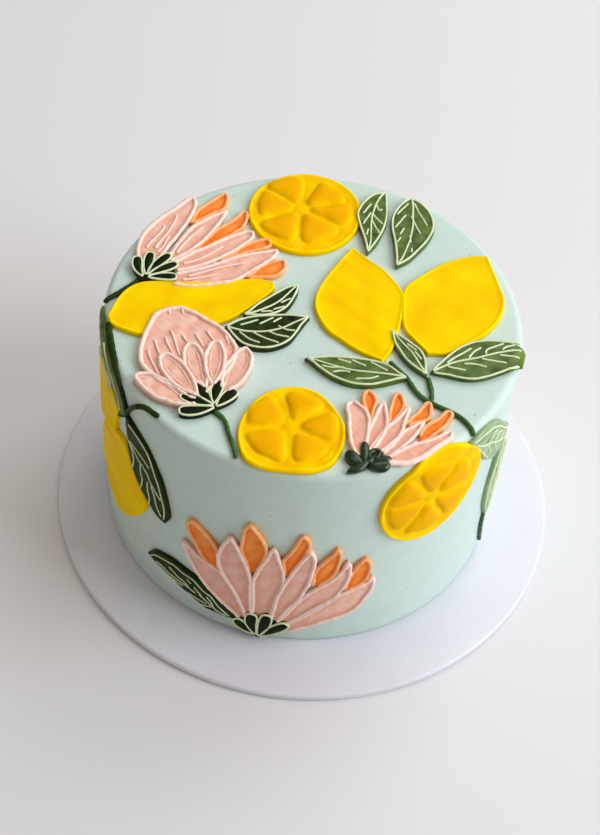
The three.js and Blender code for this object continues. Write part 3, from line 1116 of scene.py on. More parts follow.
@dataclass(frozen=True)
class Petals(Work):
    """Petals painted thin inside a thick piped line that goes up one edge and down the other.

    Attributes:
        petals: Their outlines.
        colour: Their colour.
        raised: How much higher than usual each is laid, taken in turn.
        strokes: The paths of further piped strokes over them.
        line: Half of the line's width.
        doubled: Whether a second, finer line follows the first one inside.
        seed: The seed of its unevenness.
    """

    petals: tuple = ()
    colour: Colour = Colour.PINK
    raised: tuple = (0.0,)
    strokes: tuple = ()
    line: float = 0.85
    doubled: bool = False
    seed: int = 0

    @property
    def material_slot(self) -> str:
        """The record's slot for the colour."""
        return f"{self.colour.value}_petal"

    def line_inset(self, outline: Outline, others: list[Outline]) -> np.ndarray:
        """How far in from each point of a petal's edge its line lies: hardly at all where another
        petal's edge is close, so that the two lines lie as one there.

        Args:
            outline: The petal.
            others: The flower's other petals.

        Returns:
            A distance for each point of the petal's loop.
        """
        gaps = [distance_to(other.loop, outline.loop) for other in others]
        gap = np.min(gaps, axis=0) if gaps else np.full(len(outline.loop), np.inf)
        return self.line * (0.1 + 0.6 * np.clip(gap / (1.6 * self.line), 0, 1))[:, None]

    def mould(self, moulding: Moulding) -> list[Finish]:
        """A slab and a line for each petal, and the strokes.

        Args:
            moulding: What they are added to.

        Returns:
            The finish of each slot.
        """
        paint = Relief(wall=0.6, top=1.25, shoulder=0.7, roughness=0.12, swell=4.0, rim_tone=-0.4,
                       ridge_at=self.line * 2, ridge_width=0.9)
        edge = Piping(half_width=self.line, half_height=0.85, lift=1.25, unevenness=0.12, sway=0.12,
                      wave=2.6)
        inner = Piping(half_width=0.45, half_height=0.2, lift=1.25, unevenness=0.12, sway=0.15,
                       wave=3.0)
        stroke = Piping(half_width=0.5, half_height=0.5, lift=1.45 + max(self.raised), taper=0.3)
        outlines = [shape.outline() for shape in self.petals]
        if len(outlines) == 1:
            outlines = [outlines[0].settled(self.face)]
        for number, outline in enumerate(outlines):
            others = outlines[:number] + outlines[number + 1:]
            raised = self.raised[number % len(self.raised)]
            seed = self.seed + 10 * number
            moulding.slab(outline, paint, 0, raised, fade=0.45)
            path = soften(outline.inset(self.line_inset(outline, others)), 0.5)
            moulding.rope(path, edge, 1, raised, seed)
            if self.doubled:
                moulding.rope(soften(outline.inset(self.line * 2.4), 0.9), inner, 0, raised, seed + 5)
        for number, path in enumerate(self.strokes):
            moulding.rope(smooth_path(path), stroke, 1, seed=self.seed + 3 + number)
        if self.colour is Colour.PINK:
            return [PINK, PINK_LINE]
        return [ORANGE, ORANGE_LINE]


@dataclass(frozen=True)
class Calyx(Work):
    """Dark plump lobes at a flower's foot.

    Attributes:
        lobes: Their outlines.
        pads: The outlines of the flat dark patches under them.
        curls: The paths of dark piped curls.
        lined: Whether a pale line goes round each lobe. Without it the calyx is wet and glossy.
        seed: The seed of its unevenness.
    """

    lobes: tuple = ()
    pads: tuple = ()
    curls: tuple = ()
    lined: bool = True
    seed: int = 0

    material_slot = "sepal"

    def mould(self, moulding: Moulding) -> list[Finish]:
        """A plump slab for each lobe with its line, a flat one for each pad, and the curls.

        Args:
            moulding: What they are added to.

        Returns:
            The finish of each slot.
        """
        plump = Relief(wall=1.6, top=2.9, shoulder=1.5, roughness=0.05, rim_tone=0.0, swell=3.0)
        flat = Relief(wall=0.9, top=1.9, shoulder=0.8, roughness=0.05, rim_tone=0.0, swell=3.0)
        edge = Piping(half_width=0.4, half_height=0.42, lift=2.35, sides=8, sway=0.06)
        curl = Piping(half_width=0.95, half_height=1.0, lift=1.9, unevenness=0.14, wave=2.4, taper=0.2)
        for number, shape in enumerate(self.lobes):
            outline = shape.outline()
            moulding.slab(outline, plump)
            if self.lined:
                moulding.rope(soften(outline.inset(0.05), 0.3), edge, 1, seed=self.seed + number)
        for shape in self.pads:
            moulding.slab(shape.outline(), flat)
        for number, path in enumerate(self.curls):
            moulding.rope(smooth_path(path), curl, seed=self.seed + 20 + number)
        return [SEPAL if self.lined else WET_SEPAL, VEIN]


@dataclass(frozen=True)
class Stems(Work):
    """Piped stems.

    Attributes:
        paths: The points of each one.
        half_width: Half of their width.
        dark: Whether they are painted in the dark green.
    """

    paths: tuple = ()
    half_width: float = 1.0
    dark: bool = False

    @property
    def material_slot(self) -> str:
        """The record's slot for the colour."""
        return "sepal" if self.dark else "leaf"

    def mould(self, moulding: Moulding) -> list[Finish]:
        """One line for each path.

        Args:
            moulding: What they are added to.

        Returns:
            The finish of each slot.
        """
        piping = Piping(half_width=self.half_width, half_height=0.85, lift=0.75, unevenness=0.1,
                        sway=0.15, taper=0.1, sides=12)
        for number, path in enumerate(self.paths):
            moulding.rope(smooth_path(path), piping, seed=number)
        return [DARK_LEAF if self.dark else STEM]


def tip(node: str, face: Face, shape: Edges | Blade, seed: int, line: float = 0.75) -> Petals:
    """One orange petal tip, laid a little lower than the petals before it."""
    return Petals(node, face, (shape,), Colour.ORANGE, (-0.15,), line=line, seed=seed)


def lobes(*spines: tuple, half: float = 2.4) -> tuple:
    """Calyx lobes with a narrow foot and a broad round end."""
    return tuple(Blade(spine, half, half, (0.75, 0.32)) for spine in spines)


def narrow(spine: tuple, half: float) -> Blade:
    """A narrow petal, widest past its middle."""
    return Blade(spine, half, half, (0.75, 0.5))


def front_protea() -> list[Work]:
    """The protea low on the front of the side, and its leaf.

    Returns:
        Its pieces.
    """
    side = Face.SIDE
    petals = (
        Edges(((-16.5, 10.9), (-24, 17.5), (-29.4, 22.4), (-33.4, 27.1), (-37, 32.4), (-40, 38.6),
               (-41.8, 45)),
              ((-13.8, 12), (-18.1, 24.3), (-22.5, 33.4), (-27, 38), (-33, 40.2), (-38, 43), (-41.8, 45))),
        Edges(((-13.6, 12), (-18.3, 25), (-22.6, 33.2), (-25.8, 39), (-27, 44.8), (-26.2, 50.6),
               (-24.2, 56.4), (-22.2, 60.6)),
              ((-11.8, 14), (-12.8, 24), (-13.2, 34), (-13.6, 40.6), (-15.4, 47), (-18.2, 54), (-20, 58),
               (-22.2, 60.6))),
        Edges(((-12, 14), (-12.4, 26), (-12.8, 38), (-11.4, 45), (-9, 52), (-7.4, 57), (-6, 59.6)),
              ((-5, 15), (-3.6, 28), (-1.2, 39), (-1.4, 46), (-2.8, 52), (-4.4, 57), (-6, 59.6))),
        Edges(((-5, 14), (-3.4, 29), (-1, 39), (0.8, 46), (3.6, 53), (5.8, 58), (7.3, 60)),
              ((-2.4, 14), (1.1, 22.7), (5.4, 31), (7.8, 38.4), (9.2, 47), (9.6, 53.5), (9, 57.8),
               (7.3, 60))),
        Edges(((-2.4, 14), (2.8, 24.8), (7.4, 33.4), (12, 38.6), (16.4, 42.8), (19, 47.2), (21.5, 52.4)),
              ((0, 12), (6.5, 19.2), (12.4, 25.4), (18, 31), (21.4, 37), (23, 44), (22.8, 49.4),
               (21.5, 52.4))),
        Edges(((0, 12), (7, 19), (13, 25.4), (18.4, 31), (22.8, 34.6), (28.4, 37.2), (31.8, 40.6)),
              ((2, 8.4), (8.2, 11.2), (15.1, 14.8), (22, 18.2), (27, 21.6), (30.2, 27.6), (32.6, 34),
               (32.7, 38), (31.8, 40.6))),
    )
    tips = (
        Edges(((-28.5, 37), (-31.8, 39.9), (-34.4, 43), (-37, 48), (-39.8, 53), (-40.2, 56.8),
               (-38.8, 59.6)),
              ((-25.6, 38), (-25.8, 44), (-27, 50.4), (-30.2, 54.6), (-34, 57.8), (-36.8, 59.8),
               (-38.8, 59.6))),
        Edges(((-14.6, 41.6), (-16.6, 48.5), (-18.3, 53.6), (-18.1, 60.6), (-17.4, 66.8), (-15.6, 70.4)),
              ((-11.4, 42.6), (-8.8, 51), (-8.1, 57.5), (-9.7, 63), (-12, 66.8), (-14, 69.8),
               (-15.6, 70.4))),
        Edges(((-1.6, 42.6), (-2.6, 52.4), (0, 58.6), (1.8, 64.2), (3, 67.6), (4.4, 68.6)),
              ((1, 43), (3.7, 50.6), (5.9, 57), (7.2, 62.4), (6.3, 67), (4.4, 68.6))),
        Edges(((8.7, 38.6), (9.2, 47.8), (12.1, 53.3), (15, 57.2), (16, 59.8), (17.1, 61)),
              ((11.5, 37.6), (15.8, 43), (18.2, 48.3), (18.7, 54.9), (18.3, 58.9), (17.1, 61))),
        Edges(((20.9, 34.6), (22, 42), (24, 47.6), (26.3, 51.6), (28.2, 52.7)),
              ((22.7, 33.8), (28.5, 37.8), (30.6, 43), (30.5, 48.9), (28.2, 52.7))),
    )
    leaf = Edges(((-17, 11), (-20.8, 15), (-26.6, 19.9), (-34.2, 25.6), (-38, 27), (-42.2, 28),
                  (-46.8, 28.7), (-52.4, 27.3), (-56.6, 25), (-59.4, 20.4)),
                 ((-17.6, 9.8), (-22.7, 9.4), (-30.3, 9.9), (-34.5, 11.6), (-40.9, 14.4), (-47.8, 17.2),
                  (-51.6, 18.4), (-55.4, 18.8), (-59.4, 20.4)))
    veins = (
        ((-57.4, 21), (-54.8, 23.7), (-51.2, 25.1), (-45, 26.3), (-41, 25.2), (-36.1, 24.1), (-31.5, 20.4),
         (-28.4, 19), (-24.9, 14.4), (-20.6, 10.9)),
        ((-54.2, 20.3), (-51.2, 20.5), (-47, 19.2), (-42, 18.7), (-38, 17.8), (-35, 16.8)),
        ((-47.6, 23.2), (-45.3, 22), (-42.8, 20.9), (-40, 20), (-38, 18.3)),
        ((-46.7, 17.6), (-43.6, 17.2), (-40.6, 17)), ((-38.9, 22.8), (-37, 21.2)),
        ((-35.7, 20.1), (-34, 18.5), (-32.4, 16.8)), ((-38.2, 14.4), (-34, 13.7), (-30.1, 13.3)),
        ((-33.4, 17.1), (-29.5, 14.5), (-25.7, 11.6), (-21.8, 10.8)),
        ((-30.2, 17.9), (-28.2, 15.4), (-27.3, 13)), ((-32.3, 11.5), (-28.2, 12.4)),
    )
    return [
        Petals("front_protea_petals", side, petals, raised=(0, 0.3, 0.15, 0.3, 0.15, 0.3), line=0.85),
        *(tip(f"front_protea_tip_{k}", side, shape, 40 + k, 0.8) for k, shape in enumerate(tips, 1)),
        Calyx("front_protea_calyx", side, lobes(
            ((-10, 4.4), (-12, 10.4), (-11.9, 17.2)),
            ((-9, 3.7), (-7.2, 11.2), (-6.2, 18.4)),
            ((-8.4, 3.8), (-3.7, 8.8), (1.4, 14)),
            ((-10.8, 4.6), (-14.6, 7.6), (-18.2, 11.2)), half=2.35), (
            Blade(((-9.4, 0.9), (-9.2, 6), (-8.8, 12)), 3.6, 3.6, (0.8, 0.5)),)),
        Leaf("front_protea_leaf", side, leaf, veins, framed=False, fine=0.72, top=1.8, seed=11,
             paint=DARK_LEAF),
    ]


def back_protea() -> list[Work]:
    """The protea at the back left of the top.

    Returns:
        Its pieces.
    """
    top = Face.TOP
    petals = (
        Edges(((-69, 17.6), (-70.4, 23.9), (-69.9, 29.8), (-68, 34.8), (-65, 40.7), (-61.2, 45.5),
               (-57.6, 50.3), (-54.8, 54.2), (-52.3, 55.8)),
              ((-60.6, 20), (-57.6, 28.2), (-55.7, 32.6), (-53.8, 37.6), (-52.2, 42.7), (-50.9, 47.2),
               (-50.6, 51.5), (-51.1, 54.6), (-52.3, 55.8))),
        Edges(((-59.6, 19), (-56.8, 25.2), (-54.8, 31.2), (-52.8, 35.7), (-50.8, 39.7), (-46.8, 43.9),
               (-42.6, 47.6), (-38.2, 50.6)),
              ((-57, 18.4), (-51, 24), (-47.1, 28.8), (-44, 34), (-41.5, 39.3), (-39.6, 44.6),
               (-38.4, 47.8), (-38.2, 50.6))),
        Edges(((-56.6, 17.4), (-51.6, 22.4), (-48.7, 25.3), (-45, 28.2), (-41.2, 31.4), (-37.1, 35),
               (-32.5, 38.2), (-29.6, 39.7), (-26.8, 39.6)),
              ((-54, 13.6), (-47.2, 16.6), (-42, 19.8), (-38.3, 22.6), (-34.6, 26), (-30.9, 30.1),
               (-27.8, 33.8), (-26.3, 36.9), (-26.8, 39.6))),
        Edges(((-54.4, 12.4), (-48.7, 15), (-44.1, 17.3), (-39.6, 20.2), (-35.8, 22.8), (-30.5, 26.1),
               (-24.6, 28.5), (-20.7, 29.9), (-16.8, 31.2)),
              ((-54.6, 6.4), (-48.4, 6.2), (-42.6, 7.3), (-36.8, 9.3), (-31.1, 11.8), (-25.6, 17.2),
               (-21.2, 21.9), (-18.1, 25.8), (-16.5, 29.4), (-16.8, 31.2))),
    )
    tips = (
        Edges(((-51.8, 41), (-50.4, 48.5), (-47.4, 53), (-44.2, 56.8), (-40.4, 61)),
              ((-50.9, 40.5), (-46.5, 44.6), (-42.7, 48.2), (-39.6, 50.2), (-38.6, 53.9), (-38.5, 58.5),
               (-40.4, 61))),
        Edges(((-50.5, 23.6), (-47.2, 29.7), (-43.8, 35.7), (-41.1, 40), (-38.1, 42.9), (-35.2, 46.3),
               (-33.1, 50.3), (-31.4, 51.7)),
              ((-48.9, 24.1), (-44.5, 27.7), (-39.3, 32.6), (-34.1, 37.4), (-31.2, 41.1), (-29.9, 45.4),
               (-29.8, 49.3), (-31.4, 51.7))),
        Edges(((-38.2, 21.9), (-34.6, 26.2), (-31.9, 29.8), (-29.3, 32.7), (-25.4, 35.5), (-21.2, 37),
               (-19.3, 34.8)),
              ((-37.3, 21.4), (-32.4, 24.6), (-26.7, 28), (-22.9, 29.7), (-20, 31.7), (-19.3, 34.8))),
        Edges(((-27.7, 14.4), (-23.8, 20), (-20.6, 23.4), (-17.1, 25.4), (-14.1, 26.3), (-12.5, 24)),
              ((-26.8, 13.7), (-21.3, 14.6), (-16.4, 15.8), (-13.4, 19.2), (-12.5, 24))),
    )
    strokes = (
        ((-66.7, 24.7), (-65.3, 28.2), (-63.1, 32.7), (-61.7, 36.5), (-61.6, 38.6)),
        ((-63.4, 24.9), (-61.5, 29.9), (-59.3, 35.6), (-57.9, 40.7), (-57.4, 45)),
        ((-62.1, 22.8), (-60.2, 26.6), (-59.5, 30.2), (-58.7, 32.4)),
        ((-56.4, 23.6), (-55.1, 27.9), (-53.2, 32.6), (-50.4, 37.9)),
        ((-55, 23.5), (-52.8, 28.9), (-50.1, 34), (-48.4, 36.7), (-46.7, 39.4)),
        ((-51.9, 18.2), (-48.4, 19.8), (-44.7, 22.4), (-41.1, 26.2), (-37.8, 29.6)),
        ((-49.6, 15.9), (-45.8, 18.2), (-42.1, 20.8), (-39.5, 22.9)),
        ((-49, 11.5), (-43.4, 14.8), (-37.7, 17.9), (-33.1, 20), (-28.3, 22)),
        ((-51, 9.4), (-44.6, 11.4), (-38.2, 14.4)),
    )
    return [
        Petals("back_protea_petals", top, petals, raised=(0.3, 0.15, 0.3, 0.15), strokes=strokes,
               line=0.8, seed=60),
        *(tip(f"back_protea_tip_{k}", top, shape, 80 + k) for k, shape in enumerate(tips, 1)),
        Calyx("back_protea_calyx", top, lobes(
            ((-66, 8.6), (-68.4, 12.8), (-69.5, 19)),
            ((-65, 9.6), (-64.9, 16), (-64.6, 22)),
            ((-64.4, 10), (-61.3, 16.2), (-57.3, 22)),
            ((-64, 9.6), (-59.2, 13.6), (-54, 17.4)),
            ((-64, 8.6), (-59.2, 9.5), (-53.3, 10.1)), half=1.9), (
            Blade(((-68, 7), (-65, 9.6), (-61.6, 12.4)), 2.8, 2.8, (0.6, 0.5)),), seed=1),
        Stems("back_protea_stem", top, (((-64.5, 9.6), (-68, 6.8), (-71, 3.2), (-78.4, -4.4)),),
              1.1, dark=True),
    ]


def bud() -> list[Work]:
    """The half-open bud at the left of the top.

    Returns:
        Its pieces.
    """
    top = Face.TOP
    body = Edges(((-40, -49), (-52, -44), (-60, -37), (-62, -31), (-62, -24), (-60.4, -15), (-58.5, -9.4),
                  (-54, -6.3), (-49.5, -5)),
                 ((-36, -48), (-30, -38), (-27, -30), (-26.5, -24), (-28, -20.5), (-33, -14), (-38, -11),
                  (-43, -7.6), (-49.5, -5)))
    body_strokes = (
        ((-59.1, -28.3), (-57.2, -33.1), (-53.4, -40)), ((-57, -23.2), (-56, -26.4), (-54, -31)),
        ((-53.5, -21.2), (-52.3, -24.4), (-49.5, -29.4)), ((-51.8, -17.6), (-50.2, -21.9), (-47, -30)),
        ((-47.3, -19.4), (-46.2, -21.3), (-44.2, -24)), ((-42.9, -18), (-41.5, -20.5), (-39, -24.4)),
        ((-38.8, -16.1), (-37.1, -18.7), (-34.5, -22)), ((-31.8, -17.6), (-31.1, -19.2), (-30, -22)),
        ((-54.4, -6.6), (-53.8, -8), (-53.4, -9.6)), ((-49.8, -5.2), (-49, -6.8), (-48.6, -8.6)),
    )
    petals = (
        Edges(((-38, -50), (-43, -48), (-49, -43.4), (-55, -40), (-60.5, -40.2), (-62.2, -41.6)),
              ((-38, -52.5), (-43, -53.5), (-52, -52), (-57, -48.4), (-61, -44.6), (-62.2, -41.6))),
        narrow(((-38.5, -48.5), (-46.5, -39.5), (-53.5, -30)), 4.4),
        narrow(((-36, -44.5), (-41, -34), (-44, -23)), 4.0),
        narrow(((-33.6, -43), (-34.2, -32), (-34.6, -21)), 3.9),
        Edges(((-31, -44), (-31, -38), (-30, -32), (-27, -25), (-23.5, -22.3)),
              ((-28, -45.5), (-24, -41), (-21.6, -36), (-20.5, -31), (-21, -26), (-23.5, -22.3))),
    )
    return [
        Petals("bud_body", top, (body,), raised=(0.75,), strokes=body_strokes, seed=120, line=0.95),
        Petals("bud_petals", top, petals, raised=(1.0, 1.25, 1.05, 1.25, 1.05), seed=130,
               line=0.8, doubled=True),
        Calyx("bud_calyx", top, lobes(
            ((-32, -53), (-38.2, -55.2), (-44.2, -56.2)),
            ((-32.4, -52), (-38.4, -50.6), (-44.4, -48.6)),
            ((-32.8, -51.4), (-36.4, -47.2), (-39.8, -42)),
            ((-32.4, -51.2), (-32.2, -45.6), (-31.6, -39.4)),
            ((-31.4, -52.4), (-28.6, -48.4), (-25.2, -43.8)), half=2.2), (
            Blade(((-31.4, -54), (-34, -50), (-36.6, -47)), 3, 3, (0.6, 0.5)),), seed=2),
        Stems("bud_stem", top, (((-32, -53.4), (-28, -56.8), (-25.4, -64), (-21.8, -73.6)),), 0.9),
    ]


def small_protea() -> list[Work]:
    """The small protea at the front of the top.

    Returns:
        Its pieces.
    """
    top = Face.TOP
    petals = (
        Edges(((20.4, -68.5), (17.8, -65.4), (16, -58), (15.3, -50.2), (14.4, -46), (14.9, -43.8),
               (16.9, -42.4)),
              ((21.6, -68), (22.4, -62), (23.2, -54.3), (23.3, -49.9), (22, -46.8), (19.9, -44.8),
               (18.5, -43.2), (16.9, -42.4))),
        Edges(((21.8, -67.5), (22.6, -59.6), (23.5, -54), (24.7, -49), (25.9, -45), (27, -42.4),
               (27.8, -41.4)),
              ((23.6, -66), (26.4, -60), (27.9, -56.8), (29.2, -54), (29.9, -50.9), (29.6, -47.2),
               (28.8, -43.7), (27.8, -41.4))),
        Edges(((24.6, -65), (26.7, -60.3), (28.2, -57.1), (29.2, -54), (31.3, -50.9), (33.5, -48.1),
               (35.1, -45), (36.6, -42.5)),
              ((27.4, -66), (31.2, -61.5), (33.9, -57.5), (34.9, -55.1), (35.7, -52.8), (36.4, -49.3),
               (37.1, -46.2), (37.4, -43.7), (36.6, -42.5))),
        Edges(((28.2, -66), (31.5, -61.5), (34.1, -57.4), (35.5, -54.4), (37.9, -52.1), (40.4, -50),
               (43, -49)),
              ((30, -67.6), (34.1, -63.7), (36.8, -60.8), (38.9, -57.9), (40.4, -55.2), (42, -52.3),
               (43, -49))),
        Edges(((30.2, -67.6), (34.7, -63.6), (37.7, -61), (39.6, -59.5), (41.8, -58.8), (45.2, -57.1),
               (48.8, -54.2), (52, -52.2)),
              ((30.2, -70), (35.4, -69), (39, -67.4), (42.7, -64.9), (46.4, -61.7), (49.9, -58.3),
               (52.3, -55.6), (53.2, -53.6), (52, -52.2))),
    )
    tips = (
        Edges(((22.9, -52), (21.2, -45.6), (19.9, -42.3), (20.2, -38.6), (21.8, -36.3)),
              ((24, -52), (25.1, -44.8), (25.5, -41.7), (24.6, -38.5), (23.2, -36.8), (21.8, -36.3))),
        Edges(((30, -52.5), (29.7, -47.1), (30.5, -42), (31.2, -37.9), (32.7, -35.8)),
              ((31.4, -52), (33.7, -47.4), (35.3, -43.4), (35.4, -39.9), (34.5, -37.1), (32.7, -35.8))),
        Edges(((35.4, -51.6), (37.8, -47.2), (40, -44.6), (41.8, -41.4), (43, -39.6), (44.6, -39.3)),
              ((37, -52.2), (39.8, -50.4), (42.5, -49.3), (44.9, -47.5), (45.3, -44.3), (45.5, -41.6),
               (44.6, -39.3))),
        Edges(((41, -56), (42.2, -51.8), (44.2, -49.3), (46.7, -47.1), (48.9, -44.5), (50.3, -42.6),
               (52.1, -42.6)),
              ((41.3, -60), (44.6, -57.9), (47.6, -54.4), (50.5, -50.5), (52.5, -46.8), (53.2, -44.4),
               (52.1, -42.6))),
    )
    return [
        Petals("small_protea_petals", top, petals, raised=(0.3, 0.15), seed=160, line=0.75),
        *(tip(f"small_protea_tip_{k}", top, shape, 180 + k) for k, shape in enumerate(tips, 1)),
        Calyx("small_protea_calyx", top, (
            Blade(((22, -72.2), (19.3, -70), (16, -66.4)), 2.4, 2.4, (0.5, 0.4)),
            Blade(((22.4, -72), (22.4, -66.4), (21.9, -61.4)), 1.75, 1.75, (0.5, 0.35)),
            Blade(((25.4, -70.4), (28.7, -68.6), (31.8, -67.6)), 1.5, 1.5, (0.5, 0.4)),
            Blade(((23.6, -71.4), (27.4, -71.4), (31.2, -69.9)), 1.6, 1.6, (0.5, 0.4)),
            Blade(((24.4, -70), (20.6, -73), (16.4, -75.2)), 1.3, 1.3, (0.4, 0.6))), curls=(
            ((23.7, -69), (24.4, -66.4), (26.2, -64.9), (27.7, -65.8), (27.1, -67.8), (25.8, -69.4)),),
            lined=False, seed=3),
    ]


def lemon_pair() -> list[Work]:
    """The two lemons on the right of the top, with their leaves and stem.

    Returns:
        Its pieces.
    """
    top = Face.TOP
    left = Edges(((26.5, -22), (17, -18), (10, -13), (5, -9), (1, -2), (-0.6, 5), (0.6, 13), (6, 26),
                  (12, 37)),
                 ((26.5, -22), (30, -15), (32, -5), (33.3, 8), (32.6, 15), (26, 25), (20, 30), (12, 37)))
    right = Edges(((43, -16), (37, -9), (33.4, -3), (32.4, 8), (32.8, 16.4), (36.2, 21.8), (45, 31),
                   (52, 36), (59, 39), (64.6, 39.4)),
                  ((43, -16), (50, -15), (57, -10), (62.4, -5), (67.2, 1), (70.4, 8), (71.4, 16), (70, 22),
                   (67.6, 30), (64.6, 39.4)))
    left_leaf = Edges(((36, -29.2), (32, -26), (27, -23), (20, -21.8), (12, -21.8), (5, -22.6),
                       (-2, -24.5)),
                      ((36, -29.8), (32, -31.8), (26, -34.5), (20, -36), (14, -35.5), (8, -33), (3, -29),
                       (-2, -24.5)))
    middle_leaf = Edges(((42.5, -27.6), (38, -24.2), (34, -20), (30.8, -14.6), (29.4, -9.5), (29.2, -5.8)),
                        ((43, -27), (42.6, -20), (41, -15), (37.6, -12), (33, -8.6), (29.2, -5.8)))
    right_leaf = Edges(((44, -25), (47, -21), (50, -17), (54, -13), (58, -9), (63, -6.8), (70, -6.2),
                        (76, -7.2), (78.4, -9.8)),
                       ((44, -25.4), (50, -26.4), (57, -27.4), (62.8, -26.4), (68.2, -23.5), (73.4, -20.2),
                        (77.4, -17)))
    left_veins = (
        ((10, -23.5), (15, -25)), ((15, -23.3), (20.5, -25.8)), ((22, -23.5), (28.5, -27)),
        ((4.5, -27.5), (8, -28), (12.5, -27.5)), ((8.5, -30.2), (12, -29.2), (15, -29.5)),
        ((17, -28.6), (19.6, -28.6)), ((17, -32.5), (22, -31.6), (25.4, -30)),
    )
    right_lines = (
        ((45, -24.6), (48, -20), (52.9, -13.6), (58.3, -9.1), (63.7, -6.9), (69.2, -6.5), (74.7, -6.4),
         (76.6, -6.7)),
        ((45.4, -25.4), (50, -25.8), (57.5, -26.7), (62.8, -25.7), (68.2, -22.8), (73.4, -19.5),
         (75.6, -17.2)),
        ((45, -24.8), (49, -21.8), (53, -19.3), (56.3, -17.8), (61.1, -16), (66.5, -13.4), (72, -11.1),
         (76.7, -9.7)),
    )
    right_veins = (
        ((50, -20), (55, -15), (59, -11.5)), ((58, -16.5), (60, -13), (62.5, -10.5)),
        ((64.3, -13.7), (65, -11.2), (70.9, -7.4)), ((70.3, -10.6), (72, -8.9), (75, -7.6)),
        ((50, -21.5), (52, -22.2), (56.9, -22.8)), ((56.3, -19.6), (60.1, -19.3), (64.7, -20.1)),
        ((62.7, -16.1), (66.5, -16.7), (72, -17.1)), ((69.2, -13.4), (73.6, -13.5), (76, -13.4)),
    )
    return [
        Lemon("pair_left_lemon", top, left, seed=201),
        Lemon("pair_right_lemon", top, right, seed=202),
        Leaf("pair_left_leaf", top, left_leaf, left_veins, seed=203),
        Leaf("pair_middle_leaf", top, middle_leaf, (((35, -12.4), (38.6, -15.4)),
                                                    ((38, -16), (40.6, -19.6))),
             seed=204),
        Leaf("pair_right_leaf", top, right_leaf, right_lines + right_veins, framed=False, fine=1.15,
             seed=205),
        Stems("pair_stem", top, (
            ((36.4, -29.6), (41, -36.4), (47, -40.4), (55, -44), (61, -51)),
            ((43.4, -27), (44.8, -33), (45, -39.4)),
            ((29, -21), (32.6, -24.8), (37, -30)))),
    ]


